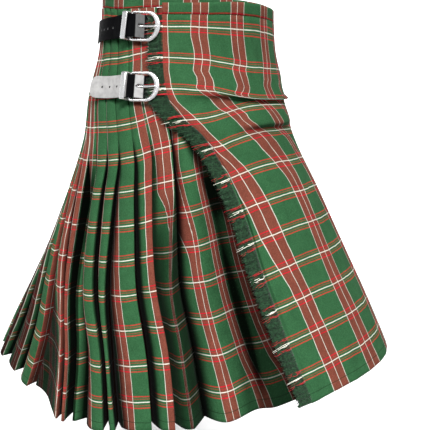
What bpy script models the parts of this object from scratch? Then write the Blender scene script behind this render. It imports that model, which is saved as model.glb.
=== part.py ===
"""A pleated kilt, filled out as when worn, with two leather straps and chrome buckles.

Frame: metres, +Z up, origin at the middle of the waist at the height of the rim.
The wearer's front is -Y and the wearer's right side is -X.

Places on the cloth are given by three numbers:
  station  the angle round the figure in degrees: 0 at the wearer's right side, 90 at the
           front, 180 at the left side and -90 at the back;
  drop     the distance down the cloth from the rim, in metres;
  out      how far the cloth stands outside the figure, in metres.
"""
import math
from collections import namedtuple

import bmesh
import bpy
import numpy as np
from mathutils import Matrix, Vector

# ---------------------------------------------------------------- driving sizes, in metres
CLOTH = 0.0012              # thickness of one wall of cloth
BAND = 0.0018               # thickness of the folded waistband
GAP = 0.0003                # space left between pieces that meet
SEAM = 0.0155               # drop of the seam under the waistband
HEM = 0.605                 # drop of the hem
APRON_OUT = 0.0024          # how far the outer apron stands outside the pleats
APRON_LIFT = 0.0028         # further lift of its free edge where it lies on the straps
UNDER_OUT = -0.0045         # the under apron lies inside the outer one
PLEAT_OUT = -0.0021         # the pleats' pressed edges
FOLD_WIDTH = 0.0022         # width of a pressed fold, from layer to layer

LEFT_HIP = 187.0            # station where the outer apron becomes the first pleat
UNDER_END = 162.0           # station of the under apron's free edge
HIDDEN_PLEATS = 11          # pleats round the back, after the nine on the right side
STATION_STEP = 6.0          # degrees between the columns of the plain panels
PLEAT_DROPS = [SEAM + GAP, 0.05, 0.10, 0.154, 0.19, 0.215, 0.24, 0.274, 0.32, 0.38, 0.44,
               0.515, HEM]
APRON_DROPS = [SEAM + GAP, 0.05, 0.08, 0.105, 0.12, 0.13, 0.137, 0.147, 0.158, 0.175, 0.205,
               0.25, 0.31, 0.38, 0.45, 0.52, HEM]

FRINGE_STRANDS = 150
FRINGE_BACKING = 0.003      # width of the strip that holds the strands' roots
FRINGE_LENGTH = 0.0155
FRINGE_DROOP = 0.0030       # the strands' tips lie in towards the figure
EDGE_GAP = 0.0005           # from the cloth's edge to the strip

STRAP_WIDTH = 0.03175
STRAP_THICK = 0.0018
TAB_WIDTH = 0.024
TAB_THICK = 0.0014
SLOT_HALF = 0.0032
BUCKLE_HEIGHT = 0.0375      # between the middles of the frame's two arms
BUCKLE_WIDTH = 0.0395       # from the middle of the bar to the middle of the far end
BUCKLE_ROUND = 0.0165       # length of the frame's round end
BUCKLE_OUT = 0.0073         # height of the bar's middle over the figure
BUCKLE_FAR_OUT = 0.0108     # height of the far end's middle over the figure
WIRE = 0.0016               # half the thickness of the frame
KEEPER_SIZE = (0.0080, 0.0388, 0.0166)
KEEPER_WALL = 0.0013
KEEPER_AT = -0.0060         # from the bar
KEEPER_LOW = 0.0006         # height of its back over the figure

# ---------------------------------------------------------------- the figure under the cloth
Girth = namedtuple("Girth", "drop side front back")
FIGURE = [
    Girth(-0.030, 0.160, 0.132, 0.123),
    Girth(0.000, 0.160, 0.132, 0.124),
    Girth(0.074, 0.168, 0.136, 0.131),
    Girth(0.134, 0.180, 0.149, 0.148),
    Girth(0.204, 0.193, 0.167, 0.158),
    Girth(0.294, 0.215, 0.208, 0.189),
    Girth(0.394, 0.240, 0.252, 0.231),
    Girth(0.494, 0.262, 0.296, 0.281),
    Girth(0.594, 0.284, 0.336, 0.328),
    Girth(0.650, 0.295, 0.355, 0.350),
]

# How far the pleats and the under apron hang below their place on a level kilt.
# rise is for the waist, shift for the body of the cloth, low for the hem; sink is how far
# the pleats stand back from the figure at the hem.
Hang = namedtuple("Hang", "station rise shift low sink")
UNDER_HANG = [
    Hang(-180.0, -0.004, 0.000, -0.004, 0.000),
    Hang(-150.0, -0.014, 0.003, -0.006, 0.000),
    Hang(-75.0, -0.015, 0.008, -0.010, 0.000),
    Hang(-66.0, -0.015, 0.008, -0.010, -0.002),
    Hang(-58.0, -0.013, 0.008, -0.009, 0.004),
    Hang(-48.0, -0.010, 0.008, -0.008, 0.017),
    Hang(-36.0, -0.007, 0.008, -0.007, 0.019),
    Hang(-26.0, -0.003, 0.006, -0.005, 0.009),
    Hang(-18.0, -0.001, 0.005, -0.002, 0.001),
    Hang(-7.0, 0.000, 0.001, -0.001, 0.000),
    Hang(3.0, 0.000, -0.005, -0.006, 0.000),
    Hang(10.0, 0.000, -0.0125, -0.0105, 0.000),
    Hang(20.0, 0.000, -0.020, -0.015, 0.000),
    Hang(28.0, 0.000, -0.026, -0.020, 0.000),
    Hang(36.0, 0.000, -0.032, -0.026, 0.000),
    Hang(60.0, 0.000, -0.038, -0.036, 0.000),
    Hang(110.0, 0.000, -0.030, -0.030, 0.000),
    Hang(165.0, -0.002, 0.000, -0.002, 0.000),
    Hang(190.0, -0.004, 0.000, -0.004, 0.000),
]

# The outer apron, down the cloth: plain is its sag near the free edge; folded and bulge
# give the soft fold across the front, where the cloth above hangs over the cloth below.
Apron = namedtuple("Apron", "cloth plain folded bulge")
APRON_FOLD = [
    Apron(0.000, 0.010, 0.003, 0.0000),
    Apron(0.033, 0.010, 0.0095, 0.0000),
    Apron(0.081, 0.004, 0.015, 0.0020),
    Apron(0.105, 0.002, 0.015, 0.0040),
    Apron(0.120, 0.000, 0.0155, 0.0066),
    Apron(0.130, -0.001, 0.013, 0.0078),
    Apron(0.137, -0.001, 0.003, 0.0060),
    Apron(0.147, -0.002, -0.013, 0.0008),
    Apron(0.158, -0.003, -0.021, -0.0018),
    Apron(0.180, -0.005, -0.027, -0.0010),
    Apron(0.205, -0.008, -0.034, 0.0000),
    Apron(0.300, -0.010, -0.035, 0.0000),
    Apron(0.650, -0.011, -0.034, 0.0000),
]
Strength = namedtuple("Strength", "station fold bulge")
FOLD_STRENGTH = [
    Strength(0.0, 0.00, 0.0),
    Strength(18.0, 0.00, 0.0),
    Strength(31.0, 0.12, 0.6),
    Strength(40.0, 0.28, 0.9),
    Strength(46.0, 0.50, 1.0),
    Strength(52.0, 0.70, 1.0),
    Strength(60.0, 0.90, 1.0),
    Strength(72.0, 1.00, 1.0),
    Strength(92.0, 1.00, 1.0),
    Strength(115.0, 0.80, 0.8),
    Strength(140.0, 0.40, 0.4),
    Strength(165.0, 0.00, 0.0),
    Strength(190.0, 0.00, 0.0),
]

# The outer apron's free edge swings to the front below the straps.
Edge = namedtuple("Edge", "drop station")
FREE_EDGE = [
    Edge(0.000, 13.2),
    Edge(0.050, 13.4),
    Edge(0.110, 14.6),
    Edge(0.150, 18.0),
    Edge(0.180, 26.0),
    Edge(0.207, 33.0),
    Edge(0.245, 38.6),
    Edge(0.320, 43.4),
    Edge(0.420, 45.6),
    Edge(0.527, 48.3),
    Edge(0.594, 50.6),
]

# The pressed folds on the wearer's right, by station, from the fell down to the hem.
# lean and opened tell how far the fold behind an edge lies under it (-) or past it (+).
Fold = namedtuple("Fold", "drop e8 e7 e6 e5 e4 e3 e2 e1 e0 lean opened first depth")
FOLDS = [
    Fold(0.015, -67, -59, -50, -41.5, -31.5, -22.5, -12.5, -3, 9, -.006, -.006, -.002, .0066),
    Fold(0.084, -62, -53, -44, -35.5, -26.0, -17.5, -8.5, 0, 11, -.006, -.006, -.002, .0066),
    Fold(0.154, -58, -49, -41, -32.5, -22.0, -14.0, -4.9, 2.8, 13.5, -.006, -.006, -.002, .0070),
    Fold(0.204, -55, -45, -36, -28, -18.0, -10.0, -1.2, 7.0, 17.3, -.006, -.006, -.002, .0082),
    Fold(0.232, -53, -43, -34, -25.5, -16.5, -8.6, 0.5, 9.0, 18.4, -.006, -.005, -.001, .0105),
    Fold(0.274, -50, -40, -31, -25.0, -16.3, -8.5, 1.5, 9.6, 18.6, -.007, -.003, .000, .0150),
    Fold(0.344, -43.5, -33.5, -27, -23.0, -14.2, -7.4, 3.2, 10.3, 17.4, -.009, .000, .005, .0210),
    Fold(0.414, -37.5, -28, -23.6, -20.0, -11.2, -5.9, 5.0, 11.6, 16.8, -.010, .005, .008, .0250),
    Fold(0.504, -34.0, -19.8, -16.4, -13.8, -5.0, -1.8, 8.7, 14.8, 19.0, -.011, .012, .011, .0290),
    Fold(0.640, -35.5, -14.5, -12.4, -10.2, -0.6, 2.9, 11.6, 16.5, 21.6, -.012, .018, .013, .0320),
]
OPENED_EDGES = (5, 11, 14, 17)      # edges whose fold stands open at the hem
DENTED_PLEAT = 7                    # this pleat's face is bent in along its middle
LAST_EDGE_TOP = -174.0 + 12.0       # station of the first pleat's edge at the waist
LAST_EDGE_HEM = -174.0 + 14.0

# The soft waves of the under apron below the last pleat: stations and depths at the hem.
Wave = namedtuple("Wave", "name station_top station_hem depth_top depth_hem")
UNDER_WAVES = [
    Wave("first_ridge", 23.5, 29.3, 0.0010, 0.0015),
    Wave("second_valley", 30.0, 36.9, 0.0045, 0.0150),
    Wave("second_ridge", 38.0, 41.5, 0.0045, 0.0050),
    Wave("covered", 52.0, 56.0, 0.0045, 0.0085),
]
WAVE_TOP = 0.240


# ---------------------------------------------------------------- reading the tables
def read(table, name, at):
    """A smooth value from a table's column, with the table's first column as the key."""
    keys = np.array([row[0] for row in table], float)
    values = np.array([getattr(row, name) for row in table], float)
    at = np.clip(np.asarray(at, float), keys[0], keys[-1])
    i = np.clip(np.searchsorted(keys, at, side="right") - 1, 0, len(keys) - 2)
    steps = np.diff(values) / np.diff(keys)
    slopes = np.concatenate([steps[:1], (steps[1:] + steps[:-1]) / 2, steps[-1:]])
    turns = np.concatenate([[False], steps[1:] * steps[:-1] <= 0, [False]])
    slopes[turns] = 0.0
    width = keys[i + 1] - keys[i]
    u = (at - keys[i]) / width
    return (values[i] * (2 * u**3 - 3 * u**2 + 1) + values[i + 1] * (3 * u**2 - 2 * u**3)
            + width * (slopes[i] * (u**3 - 2 * u**2 + u) + slopes[i + 1] * (u**3 - u**2)))


def ramp(x, low, high):
    """0 below low, 1 above high, smooth between."""
    u = np.clip((np.asarray(x, float) - low) / (high - low), 0.0, 1.0)
    return u * u * (3 - 2 * u)


# ---------------------------------------------------------------- the draped figure
DROPS = np.arange(-0.030, 0.6501, 0.005)
STATIONS = np.arange(-200.0, 201.0, 2.0)


def girth(station, drop):
    """Half widths of the figure across the station's own half of the body."""
    side = read(FIGURE, "side", drop)
    front = read(FIGURE, "front", drop)
    back = read(FIGURE, "back", drop)
    return side, np.where(np.sin(np.radians(station)) > 0, front, back)


def fall_table():
    """Height for each station and drop: the cloth keeps its length as it spreads."""
    station, drop = np.meshgrid(STATIONS, DROPS, indexing="ij")
    side, depth = girth(station, drop)
    x = -side * np.cos(np.radians(station))
    y = -depth * np.sin(np.radians(station))
    spread = np.hypot(np.diff(x, axis=1), np.diff(y, axis=1))
    step = DROPS[1] - DROPS[0]
    down = np.sqrt(np.maximum(step**2 - spread**2, 1e-8))
    height = -np.concatenate([np.zeros((len(STATIONS), 1)), np.cumsum(down, axis=1)], axis=1)
    at_rim = int(round(-DROPS[0] / step))
    return height - height[:, at_rim:at_rim + 1]


FALL = fall_table()


def place(station, drop, out):
    """Points in space for stations, drops and outs of equal shape."""
    station, drop, out = np.broadcast_arrays(
        np.asarray(station, float), np.asarray(drop, float), np.asarray(out, float))
    angle = np.radians(station)
    side, depth = girth(station, drop)
    normal = np.stack([-np.cos(angle) / side, -np.sin(angle) / depth], axis=-1)
    normal /= np.linalg.norm(normal, axis=-1, keepdims=True)
    i = np.clip((station - STATIONS[0]) / 2.0, 0, len(STATIONS) - 1.001)
    j = np.clip((drop - DROPS[0]) / 0.005, 0, len(DROPS) - 1.001)
    i0, j0 = i.astype(int), j.astype(int)
    u, v = i - i0, j - j0
    z = ((1 - u) * ((1 - v) * FALL[i0, j0] + v * FALL[i0, j0 + 1])
         + u * ((1 - v) * FALL[i0 + 1, j0] + v * FALL[i0 + 1, j0 + 1]))
    return np.stack([-side * np.cos(angle) + out * normal[..., 0],
                     -depth * np.sin(angle) + out * normal[..., 1], z], axis=-1)


def metres_per_degree(station, drop):
    """Arc length of one degree of station."""
    angle = np.radians(station)
    side, depth = girth(station, drop)
    return np.hypot(side * np.sin(angle), depth * np.cos(angle)) * math.pi / 180


def spread(station, drop):
    """How fast the figure widens with the drop."""
    near, far = place(station, drop, 0.0), place(station, drop + 0.010, 0.0)
    return float(np.linalg.norm((far - near)[:2])) / 0.010


def under_drop(station, cloth):
    """Where the cloth of the pleats and under apron hangs, for its own length down."""
    weight = ramp(cloth, 0.0, 0.120)
    low = ramp(cloth, 0.35, HEM)
    body = read(UNDER_HANG, "shift", station)
    hang = body + low * (read(UNDER_HANG, "low", station) - body)
    return cloth + weight * hang + (1 - weight) * read(UNDER_HANG, "rise", station)


def apron_drop(station, cloth):
    """Where the outer apron's cloth hangs, for its own length down."""
    fold = read(FOLD_STRENGTH, "fold", station)
    left = ramp(station, 150.0, LEFT_HIP)
    shift = (1 - fold) * read(APRON_FOLD, "plain", cloth) + fold * read(APRON_FOLD, "folded", cloth)
    return cloth + shift * (1 - left) + left * (under_drop(station - 360.0, cloth) - cloth)


def apron_out(station, cloth):
    """How far the outer apron stands out: over the straps, over its fold, in at the hip."""
    edge = read(FREE_EDGE, "station", cloth)
    lifted = APRON_LIFT * (1 - ramp(station - edge, 2.0, 16.0)) * (1 - ramp(cloth, 0.16, 0.24))
    bulge = read(FOLD_STRENGTH, "bulge", station) * read(APRON_FOLD, "bulge", cloth)
    left = ramp(station, 150.0, LEFT_HIP)
    return (APRON_OUT + lifted + bulge) * (1 - left) + left * PLEAT_OUT


# ---------------------------------------------------------------- Blender helpers
def clear_scene():
    for old in list(bpy.data.objects):
        bpy.data.objects.remove(old, do_unlink=True)


def collection(name, hidden=False):
    made = bpy.data.collections.new(name)
    bpy.context.scene.collection.children.link(made)
    made.hide_render = hidden
    return made


def finish(name, colour, roughness, metallic=0.0):
    material = bpy.data.materials.new(name)
    material.use_nodes = True
    shader = material.node_tree.nodes["Principled BSDF"]
    shader.inputs["Base Color"].default_value = (*colour, 1.0)
    shader.inputs["Roughness"].default_value = roughness
    shader.inputs["Metallic"].default_value = metallic
    return material


def add_object(name, mesh, material, smooth=True):
    piece = bpy.data.objects.new(name, mesh)
    KILT.objects.link(piece)
    mesh.materials.append(material)
    if smooth:
        mesh.shade_smooth()
        mesh.set_sharp_from_angle(angle=math.radians(40))
    return piece


def mesh_from(build, name):
    """A mesh from a bmesh, its faces turned outwards."""
    bmesh.ops.recalc_face_normals(build, faces=build.faces)
    mesh = bpy.data.meshes.new(name)
    build.to_mesh(mesh)
    build.free()
    return mesh


def grid_faces(build, rows):
    """Quads between rows of vertices."""
    for upper, lower in zip(rows, rows[1:]):
        for i in range(len(upper) - 1):
            build.faces.new((upper[i], upper[i + 1], lower[i + 1], lower[i]))


def sheet(name, points, thickness, material):
    """An open grid of points made into a wall of cloth."""
    build = bmesh.new()
    rows = [[build.verts.new(p) for p in row] for row in points]
    grid_faces(build, rows)
    mesh = bpy.data.meshes.new(name)
    build.to_mesh(mesh)
    build.free()
    piece = add_object(name, mesh, material)
    wall = piece.modifiers.new("wall", "SOLIDIFY")
    wall.thickness = thickness
    wall.offset = 0.0
    wall.use_even_offset = True
    wall.use_quality_normals = True
    return piece


def loft(name, outer, inner, material):
    """A closed wall between two grids of points: its two faces, its rims and its ends."""
    build = bmesh.new()
    outside = [[build.verts.new(p) for p in row] for row in outer]
    inside = [[build.verts.new(p) for p in row] for row in inner]
    grid_faces(build, outside)
    grid_faces(build, [row[::-1] for row in inside])
    for a, b in ((outside[0], inside[0]), (inside[-1], outside[-1])):
        grid_faces(build, [b, a])
    for i in (0, -1):
        grid_faces(build, [[row[i] for row in outside], [row[i] for row in inside]])
    return add_object(name, mesh_from(build, name), material)


# ---------------------------------------------------------------- the pleated back
def edge_station(number, drop):
    """Station of a pleat's pressed edge: from the table at the right, evenly round the back."""
    if number <= 8:
        return read(FOLDS, "e%d" % number, drop)
    eighth = read(FOLDS, "e8", drop)
    last = LAST_EDGE_TOP + (LAST_EDGE_HEM - LAST_EDGE_TOP) * ramp(drop, SEAM, HEM)
    return eighth + (last - eighth) * (number - 8) / HIDDEN_PLEATS


def fold_lean(number, drop):
    if number == 0:
        return read(FOLDS, "first", drop)
    return read(FOLDS, "opened" if number in OPENED_EDGES else "lean", drop)


def pleat_section(drop):
    """The middle line of the pleats at one drop: (station, out, is a pressed fold)."""
    depth = float(read(FOLDS, "depth", drop))
    count = 9 + HIDDEN_PLEATS
    start = LEFT_HIP - 360.0
    line = [(start, PLEAT_OUT, False)]
    shoulder = start
    for number in range(count - 1, -1, -1):
        edge = float(edge_station(number, drop))
        degree = float(metres_per_degree(edge, drop))
        dent = 0.12
        if number == DENTED_PLEAT:
            dent += 0.55 * float(ramp(drop, 0.38, HEM))
        line.append((shoulder + 0.5 * (edge - shoulder), -dent * depth, False))
        line.append((edge, PLEAT_OUT, True))
        lean = float(fold_lean(number, drop)) / degree
        if number == 0:
            line.append((edge + lean, -depth, False))
            break
        line.append((edge + lean, -depth, True))
        ahead = float(edge_station(number - 1, drop)) - edge
        shoulder = edge + min(max(lean, 0.0) + 0.0045 / degree, 0.6 * ahead)
        line.append((shoulder, -0.5 * depth, False))
    return line


def fold_corners(points, folds):
    """Each pressed fold becomes two corners a fold's width apart."""
    line = []
    for i, point in enumerate(points):
        if not folds[i] or i in (0, len(points) - 1):
            line.append(point)
            continue
        before = (point - points[i - 1]) / np.linalg.norm(point - points[i - 1])
        after = (points[i + 1] - point) / np.linalg.norm(points[i + 1] - point)
        across = (before + after) / max(np.linalg.norm(before + after), 1e-9)
        line += [point - across * FOLD_WIDTH / 2, point + across * FOLD_WIDTH / 2]
    return np.array(line)


def offset_line(line, distance):
    """The line moved sideways by the distance, with mitred corners."""
    along = np.diff(line, axis=0)
    along /= np.linalg.norm(along, axis=1, keepdims=True)
    sideways = np.stack([along[:, 1], -along[:, 0]], axis=1)
    first = np.concatenate([sideways[:1], sideways])
    second = np.concatenate([sideways, sideways[-1:]])
    mitre = first + second
    mitre /= np.maximum((mitre * first).sum(axis=1, keepdims=True), 0.62)
    return line + mitre * distance


def make_pleats(material):
    outer, inner = [], []
    for cloth in PLEAT_DROPS:
        section = pleat_section(cloth)
        station = np.array([row[0] for row in section])
        out = np.array([row[1] for row in section])
        out = out - read(UNDER_HANG, "sink", station) * ramp(cloth, 0.36, HEM)
        spots = place(station, under_drop(station, cloth), out)
        folds = [row[2] for row in section]
        line = fold_corners(spots, folds)
        flat = line[:, :2]
        for side, rows in ((0.5, outer), (-0.5, inner)):
            moved = offset_line(flat, side * CLOTH)
            rows.append(np.column_stack([moved, line[:, 2]]))
    return loft("pleats", outer, inner, material)


# ---------------------------------------------------------------- the two aprons
def fold_bottom(drop):
    """Station and out of the fold behind the last pleat's edge."""
    edge = float(edge_station(0, drop))
    lean = float(fold_lean(0, drop)) / float(metres_per_degree(edge, drop))
    return edge + lean, -float(read(FOLDS, "depth", drop))


def under_section(drop):
    """The under apron at one drop: out of the last fold, over its waves, round the front."""
    low = float(ramp(drop, WAVE_TOP - 0.12, HEM))
    station, out = fold_bottom(drop)
    station += (2 * GAP + CLOTH) / float(metres_per_degree(station, drop))
    line = [(station, out)]
    for wave in UNDER_WAVES:
        line.append((wave.station_top + low * (wave.station_hem - wave.station_top),
                     -(wave.depth_top + low * (wave.depth_hem - wave.depth_top)) - CLOTH))
    start = line[-1][0]
    count = int((UNDER_END - 56.0) / STATION_STEP)
    for k in range(1, count + 1):
        wave = 0.0025 * low * math.cos(k * 1.7)
        line.append((start + (UNDER_END - start) * k / count, UNDER_OUT - 0.003 * low + wave))
    return line


def refine(line, pieces):
    """A smooth curve through the first points of a section, the rest left as it is."""
    table = [Edge(*row) for row in line]
    keys = []
    for a, b in zip(line[:6], line[1:6]):
        keys += [a[0] + (b[0] - a[0]) * n / pieces for n in range(pieces)]
    keys += [row[0] for row in line[5:]]
    return [(key, float(read(table, "station", key))) for key in keys]


def make_under_apron(material):
    rows = []
    for cloth in PLEAT_DROPS:
        line = refine(under_section(cloth), 3)
        station = np.array([row[0] for row in line])
        out = np.array([row[1] for row in line])
        rows.append(place(station, under_drop(station, cloth), out))
    return sheet("under_apron", rows, CLOTH, material)


def apron_stations(cloth):
    edge = float(read(FREE_EDGE, "station", cloth))
    count = int((LEFT_HIP - 20.0) / STATION_STEP)
    along = np.linspace(0.0, 1.0, count + 1)
    end = LEFT_HIP - (GAP + 0.0001) / float(metres_per_degree(LEFT_HIP, cloth))
    return edge + (end - edge) * along


def make_outer_apron(material):
    rows = []
    for cloth in APRON_DROPS:
        station = apron_stations(cloth)
        rows.append(place(station, apron_drop(station, cloth), apron_out(station, cloth)))
    return sheet("outer_apron", rows, CLOTH, material)


# ---------------------------------------------------------------- the waistband
def back_band_out(station):
    """On the pleats' outside, then in under the outer apron."""
    return -0.0016 + (UNDER_OUT + 0.0016) * ramp(station, 2.0, 12.0)


def make_waistbands(material):
    station = np.arange(LEFT_HIP - 360.0, UNDER_END + 0.1, STATION_STEP)
    rows = [place(station, under_drop(station, cloth), back_band_out(station))
            for cloth in (0.0, SEAM / 2, SEAM - GAP)]
    sheet("waistband_back", rows, BAND, material)
    station = apron_stations(0.0)
    rows = [place(station, apron_drop(station, cloth), apron_out(station, cloth))
            for cloth in (0.0, SEAM / 2, SEAM - GAP)]
    sheet("waistband_apron", rows, BAND, material)


# ---------------------------------------------------------------- the frayed edge
def edge_rows():
    """For each row of the outer apron: its free edge's point, the way off the cloth, and out."""
    rows = []
    for cloth in APRON_DROPS:
        station = apron_stations(cloth)[:2]
        drop, out = apron_drop(station, cloth), apron_out(station, cloth)
        points = place(station, drop, out)
        outwards = place(station[:1], drop[:1], out[:1] + 1.0)[0] - points[0]
        away = (points[0] - points[1]) / np.linalg.norm(points[0] - points[1])
        rows.append(np.concatenate([points[0], away, outwards]))
    return np.array(rows)


def beside_edge(rows, cloth, away, out, along=0.0):
    """A place past the outer apron's free edge: away from it, out from it, along it."""
    point = [np.interp(cloth, APRON_DROPS, rows[:, i]) for i in range(9)]
    ahead = [np.interp(cloth + along, APRON_DROPS, rows[:, i]) for i in range(3)]
    return np.array(ahead) + away * np.array(point[3:6]) + out * np.array(point[6:9])


def make_fringe(material):
    """A narrow strip along the edge whose every second outer face is drawn out as a strand."""
    build = bmesh.new()
    edge = edge_rows()
    top, bottom = SEAM + 0.001, HEM - 0.001
    rings = []
    for k in range(2 * FRINGE_STRANDS + 1):
        cloth = top + (bottom - top) * k / (2 * FRINGE_STRANDS)
        rings.append([build.verts.new(beside_edge(edge, cloth, away, level * CLOTH))
                      for away, level in ((EDGE_GAP, 0.5), (EDGE_GAP + FRINGE_BACKING, 0.5),
                                          (EDGE_GAP + FRINGE_BACKING, -0.5), (EDGE_GAP, -0.5))])
    roots = []
    for k, (a, b) in enumerate(zip(rings, rings[1:])):
        for i in range(4):
            face = build.faces.new((a[i], a[(i + 1) % 4], b[(i + 1) % 4], b[i]))
            if i == 1 and k % 2 == 0:
                roots.append((k, face))
    build.faces.new(rings[0][::-1])
    build.faces.new(rings[-1])
    bmesh.ops.recalc_face_normals(build, faces=build.faces)
    for k, face in roots:
        cloth = top + (bottom - top) * (k + 0.5) / (2 * FRINGE_STRANDS)
        length = FRINGE_LENGTH * (0.86 + 0.14 * math.sin(2.4 * k))
        swing = 0.0012 * math.sin(1.3 * k)
        tip = Vector(beside_edge(edge, cloth, EDGE_GAP + FRINGE_BACKING + length,
                                 0.0004 * math.sin(1.9 * k) - FRINGE_DROOP, swing))
        drawn = bmesh.ops.extrude_discrete_faces(build, faces=[face])["faces"][0]
        middle = drawn.calc_center_median()
        for corner in drawn.verts:
            corner.co = tip + 0.55 * (corner.co - middle)
    return add_object("apron_fringe", mesh_from(build, "apron_fringe"), material)


# ---------------------------------------------------------------- straps and buckles
Strap = namedtuple("Strap", "name drop bar slant tip_station tip_out")
STRAPS = [
    Strap("upper", 0.0415, -5.0, 4.0, -62.0, 0.0022),
    Strap("lower", 0.1265, -2.7, 1.5, -33.0, 0.0110),
]
# The strap's way, from under the apron over the buckle's bar towards its free end:
# distance past the bar, and the height of the strap's middle over the figure.
Way = namedtuple("Way", "past_bar out")
STRAP_WAY = [
    Way(0.054, 0.0018),
    Way(0.044, 0.0018),
    Way(0.034, 0.0018),
    Way(0.026, 0.0019),
    Way(0.0225, 0.0026),
    Way(0.018, 0.0052),
    Way(0.0125, 0.0092),
    Way(0.0075, 0.0118),
    Way(0.000, 0.0129),
    Way(-0.006, 0.0121),
    Way(-0.014, 0.0097),
    Way(-0.024, 0.0062),
    Way(-0.034, 0.0040),
]


def strap_line(strap):
    """Middle line of a strap as stations and outs, ending in its free tip."""
    degree = float(metres_per_degree(strap.bar, strap.drop))
    line = [(strap.bar + way.past_bar / degree, way.out) for way in STRAP_WAY]
    start, out = line[-1]
    steps = 8 if strap.tip_out < 0.005 else 5
    for k in range(1, steps + 1):
        u = k / steps
        line.append((start + (strap.tip_station - start) * u,
                     0.0020 + (out - 0.0020) * (1 - u)**3 + (strap.tip_out - 0.0020) * u**3))
    return line


def make_strap(strap, material):
    """The strap: narrowed to a round end at its tip, with a slot for the prong."""
    line = strap_line(strap)
    station = np.array([row[0] for row in line])
    out = np.array([row[1] for row in line])
    middle = place(station, strap.drop, out)
    lengths = np.concatenate([[0], np.cumsum(np.linalg.norm(np.diff(middle, axis=0), axis=1))])
    total = lengths[-1]
    marks = np.concatenate([lengths[:-1], [total - 0.010, total - 0.005, total]])
    marks = np.unique(np.round(marks, 5))
    rows = []
    for mark, at, height in zip(marks, np.interp(marks, lengths, station),
                                np.interp(marks, lengths, out)):
        half = STRAP_WIDTH / 2
        to_tip = total - mark
        if to_tip < 0.012:
            half *= 0.30 + 0.70 * math.sqrt(max(0.0, 1 - (1 - to_tip / 0.012)**2))
        degree = float(metres_per_degree(strap.bar, strap.drop))
        swung = max(0.0, at - strap.bar) * degree * math.tan(math.radians(strap.slant))
        swung -= height * spread(at, strap.drop)
        rows.append([place(at, strap.drop + swung + across * half, height)
                     for across in (-1.0, -0.33, 0.33, 1.0)])
    piece = sheet("strap_" + strap.name, rows, STRAP_THICK, material)
    middle_of_slot = buckle_frame(strap) @ Matrix.Translation((0.0177, 0.0, 0.0))
    cut(piece, cutter_box("strap_slot_" + strap.name, middle_of_slot, (0.0115, 0.0044, 0.016)))
    return piece


def hip_frame(strap, away, out, to_away, to_out):
    """Axes on the hip at a distance past the bar: x to another such place, z outwards."""
    degree = float(metres_per_degree(strap.bar, strap.drop))
    station = strap.bar + away / degree
    drop = strap.drop - out * spread(station, strap.drop)
    far = strap.bar + to_away / degree
    here = Vector(place(station, drop, out))
    along = Vector(place(far, strap.drop - to_out * spread(far, strap.drop), to_out)) - here
    along.normalize()
    up = here - Vector(place(station, drop + 0.005, out))
    outwards = along.cross(up).normalized()
    up = outwards.cross(along).normalized()
    turn = Matrix((along, up, outwards)).transposed().to_4x4()
    turn.translation = here
    return turn


def buckle_frame(strap):
    """Axes at the middle of the bar: x towards the far end of the frame, z outwards."""
    level = hip_frame(strap, 0.0, BUCKLE_OUT, BUCKLE_WIDTH, BUCKLE_FAR_OUT)
    return level @ Matrix.Rotation(math.radians(-strap.slant), 4, "Z")


def cutter_box(name, frame, size):
    build = bmesh.new()
    bmesh.ops.create_cube(build, size=1.0)
    bmesh.ops.scale(build, vec=size, verts=build.verts)
    bmesh.ops.transform(build, matrix=frame, verts=build.verts)
    mesh = bpy.data.meshes.new(name)
    build.to_mesh(mesh)
    build.free()
    box = bpy.data.objects.new(name, mesh)
    CUTTERS.objects.link(box)
    box.hide_render = True
    box.display_type = "WIRE"
    return box


def cut(piece, box):
    hole = piece.modifiers.new("hole", "BOOLEAN")
    hole.operation = "DIFFERENCE"
    hole.solver = "EXACT"
    hole.object = box


def ring_solid(name, frame, stations, material):
    """A closed loop swept through (middle, sideways, half width, half thickness) stations."""
    build = bmesh.new()
    rings = []
    for middle, sideways, half_width, half_thick in stations:
        ring = []
        for n in range(8):
            turn = math.radians(45 * n + 22.5)
            spot = (Vector(middle) + Vector(sideways) * half_width * 1.08 * math.cos(turn)
                    + Vector((0, 0, half_thick * 1.08 * math.sin(turn))))
            ring.append(build.verts.new(frame @ spot))
        rings.append(ring)
    for a, b in zip(rings, rings[1:] + rings[:1]):
        for i in range(8):
            build.faces.new((a[i], a[(i + 1) % 8], b[(i + 1) % 8], b[i]))
    return add_object(name, mesh_from(build, name), material)


def buckle_outline():
    """The D of the frame: bar on the left, arms, and a half oval on the right."""
    half = BUCKLE_HEIGHT / 2
    arm = BUCKLE_WIDTH - BUCKLE_ROUND
    turns = [math.radians(90 - 180 * k / 12) for k in range(13)]
    outline = [((arm + BUCKLE_ROUND * math.cos(a), half * math.sin(a), 0.0),
                (math.cos(a), math.sin(a), 0.0), a) for a in turns]
    left = [((arm * 0.35, -half, 0.0), (0.0, -1.0, 0.0), None),
            ((0.0008, -half * 0.90, 0.0), (-0.8, -0.6, 0.0), None),
            ((0.0, -half * 0.6, 0.0), (-1.0, 0.0, 0.0), None),
            ((0.0, half * 0.6, 0.0), (-1.0, 0.0, 0.0), None),
            ((0.0008, half * 0.90, 0.0), (-0.8, 0.6, 0.0), None),
            ((arm * 0.35, half, 0.0), (0.0, 1.0, 0.0), None)]
    return outline + left


def make_buckle(strap, metal):
    stations = []
    for middle, sideways, turn in buckle_outline():
        width = WIRE
        if turn is not None:
            width = WIRE * (1.0 + 1.1 * max(0.0, math.cos(turn)))
        stations.append((middle, Vector(sideways).normalized(), width, WIRE))
    ring_solid("buckle_" + strap.name, buckle_frame(strap), stations, metal)


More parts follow.
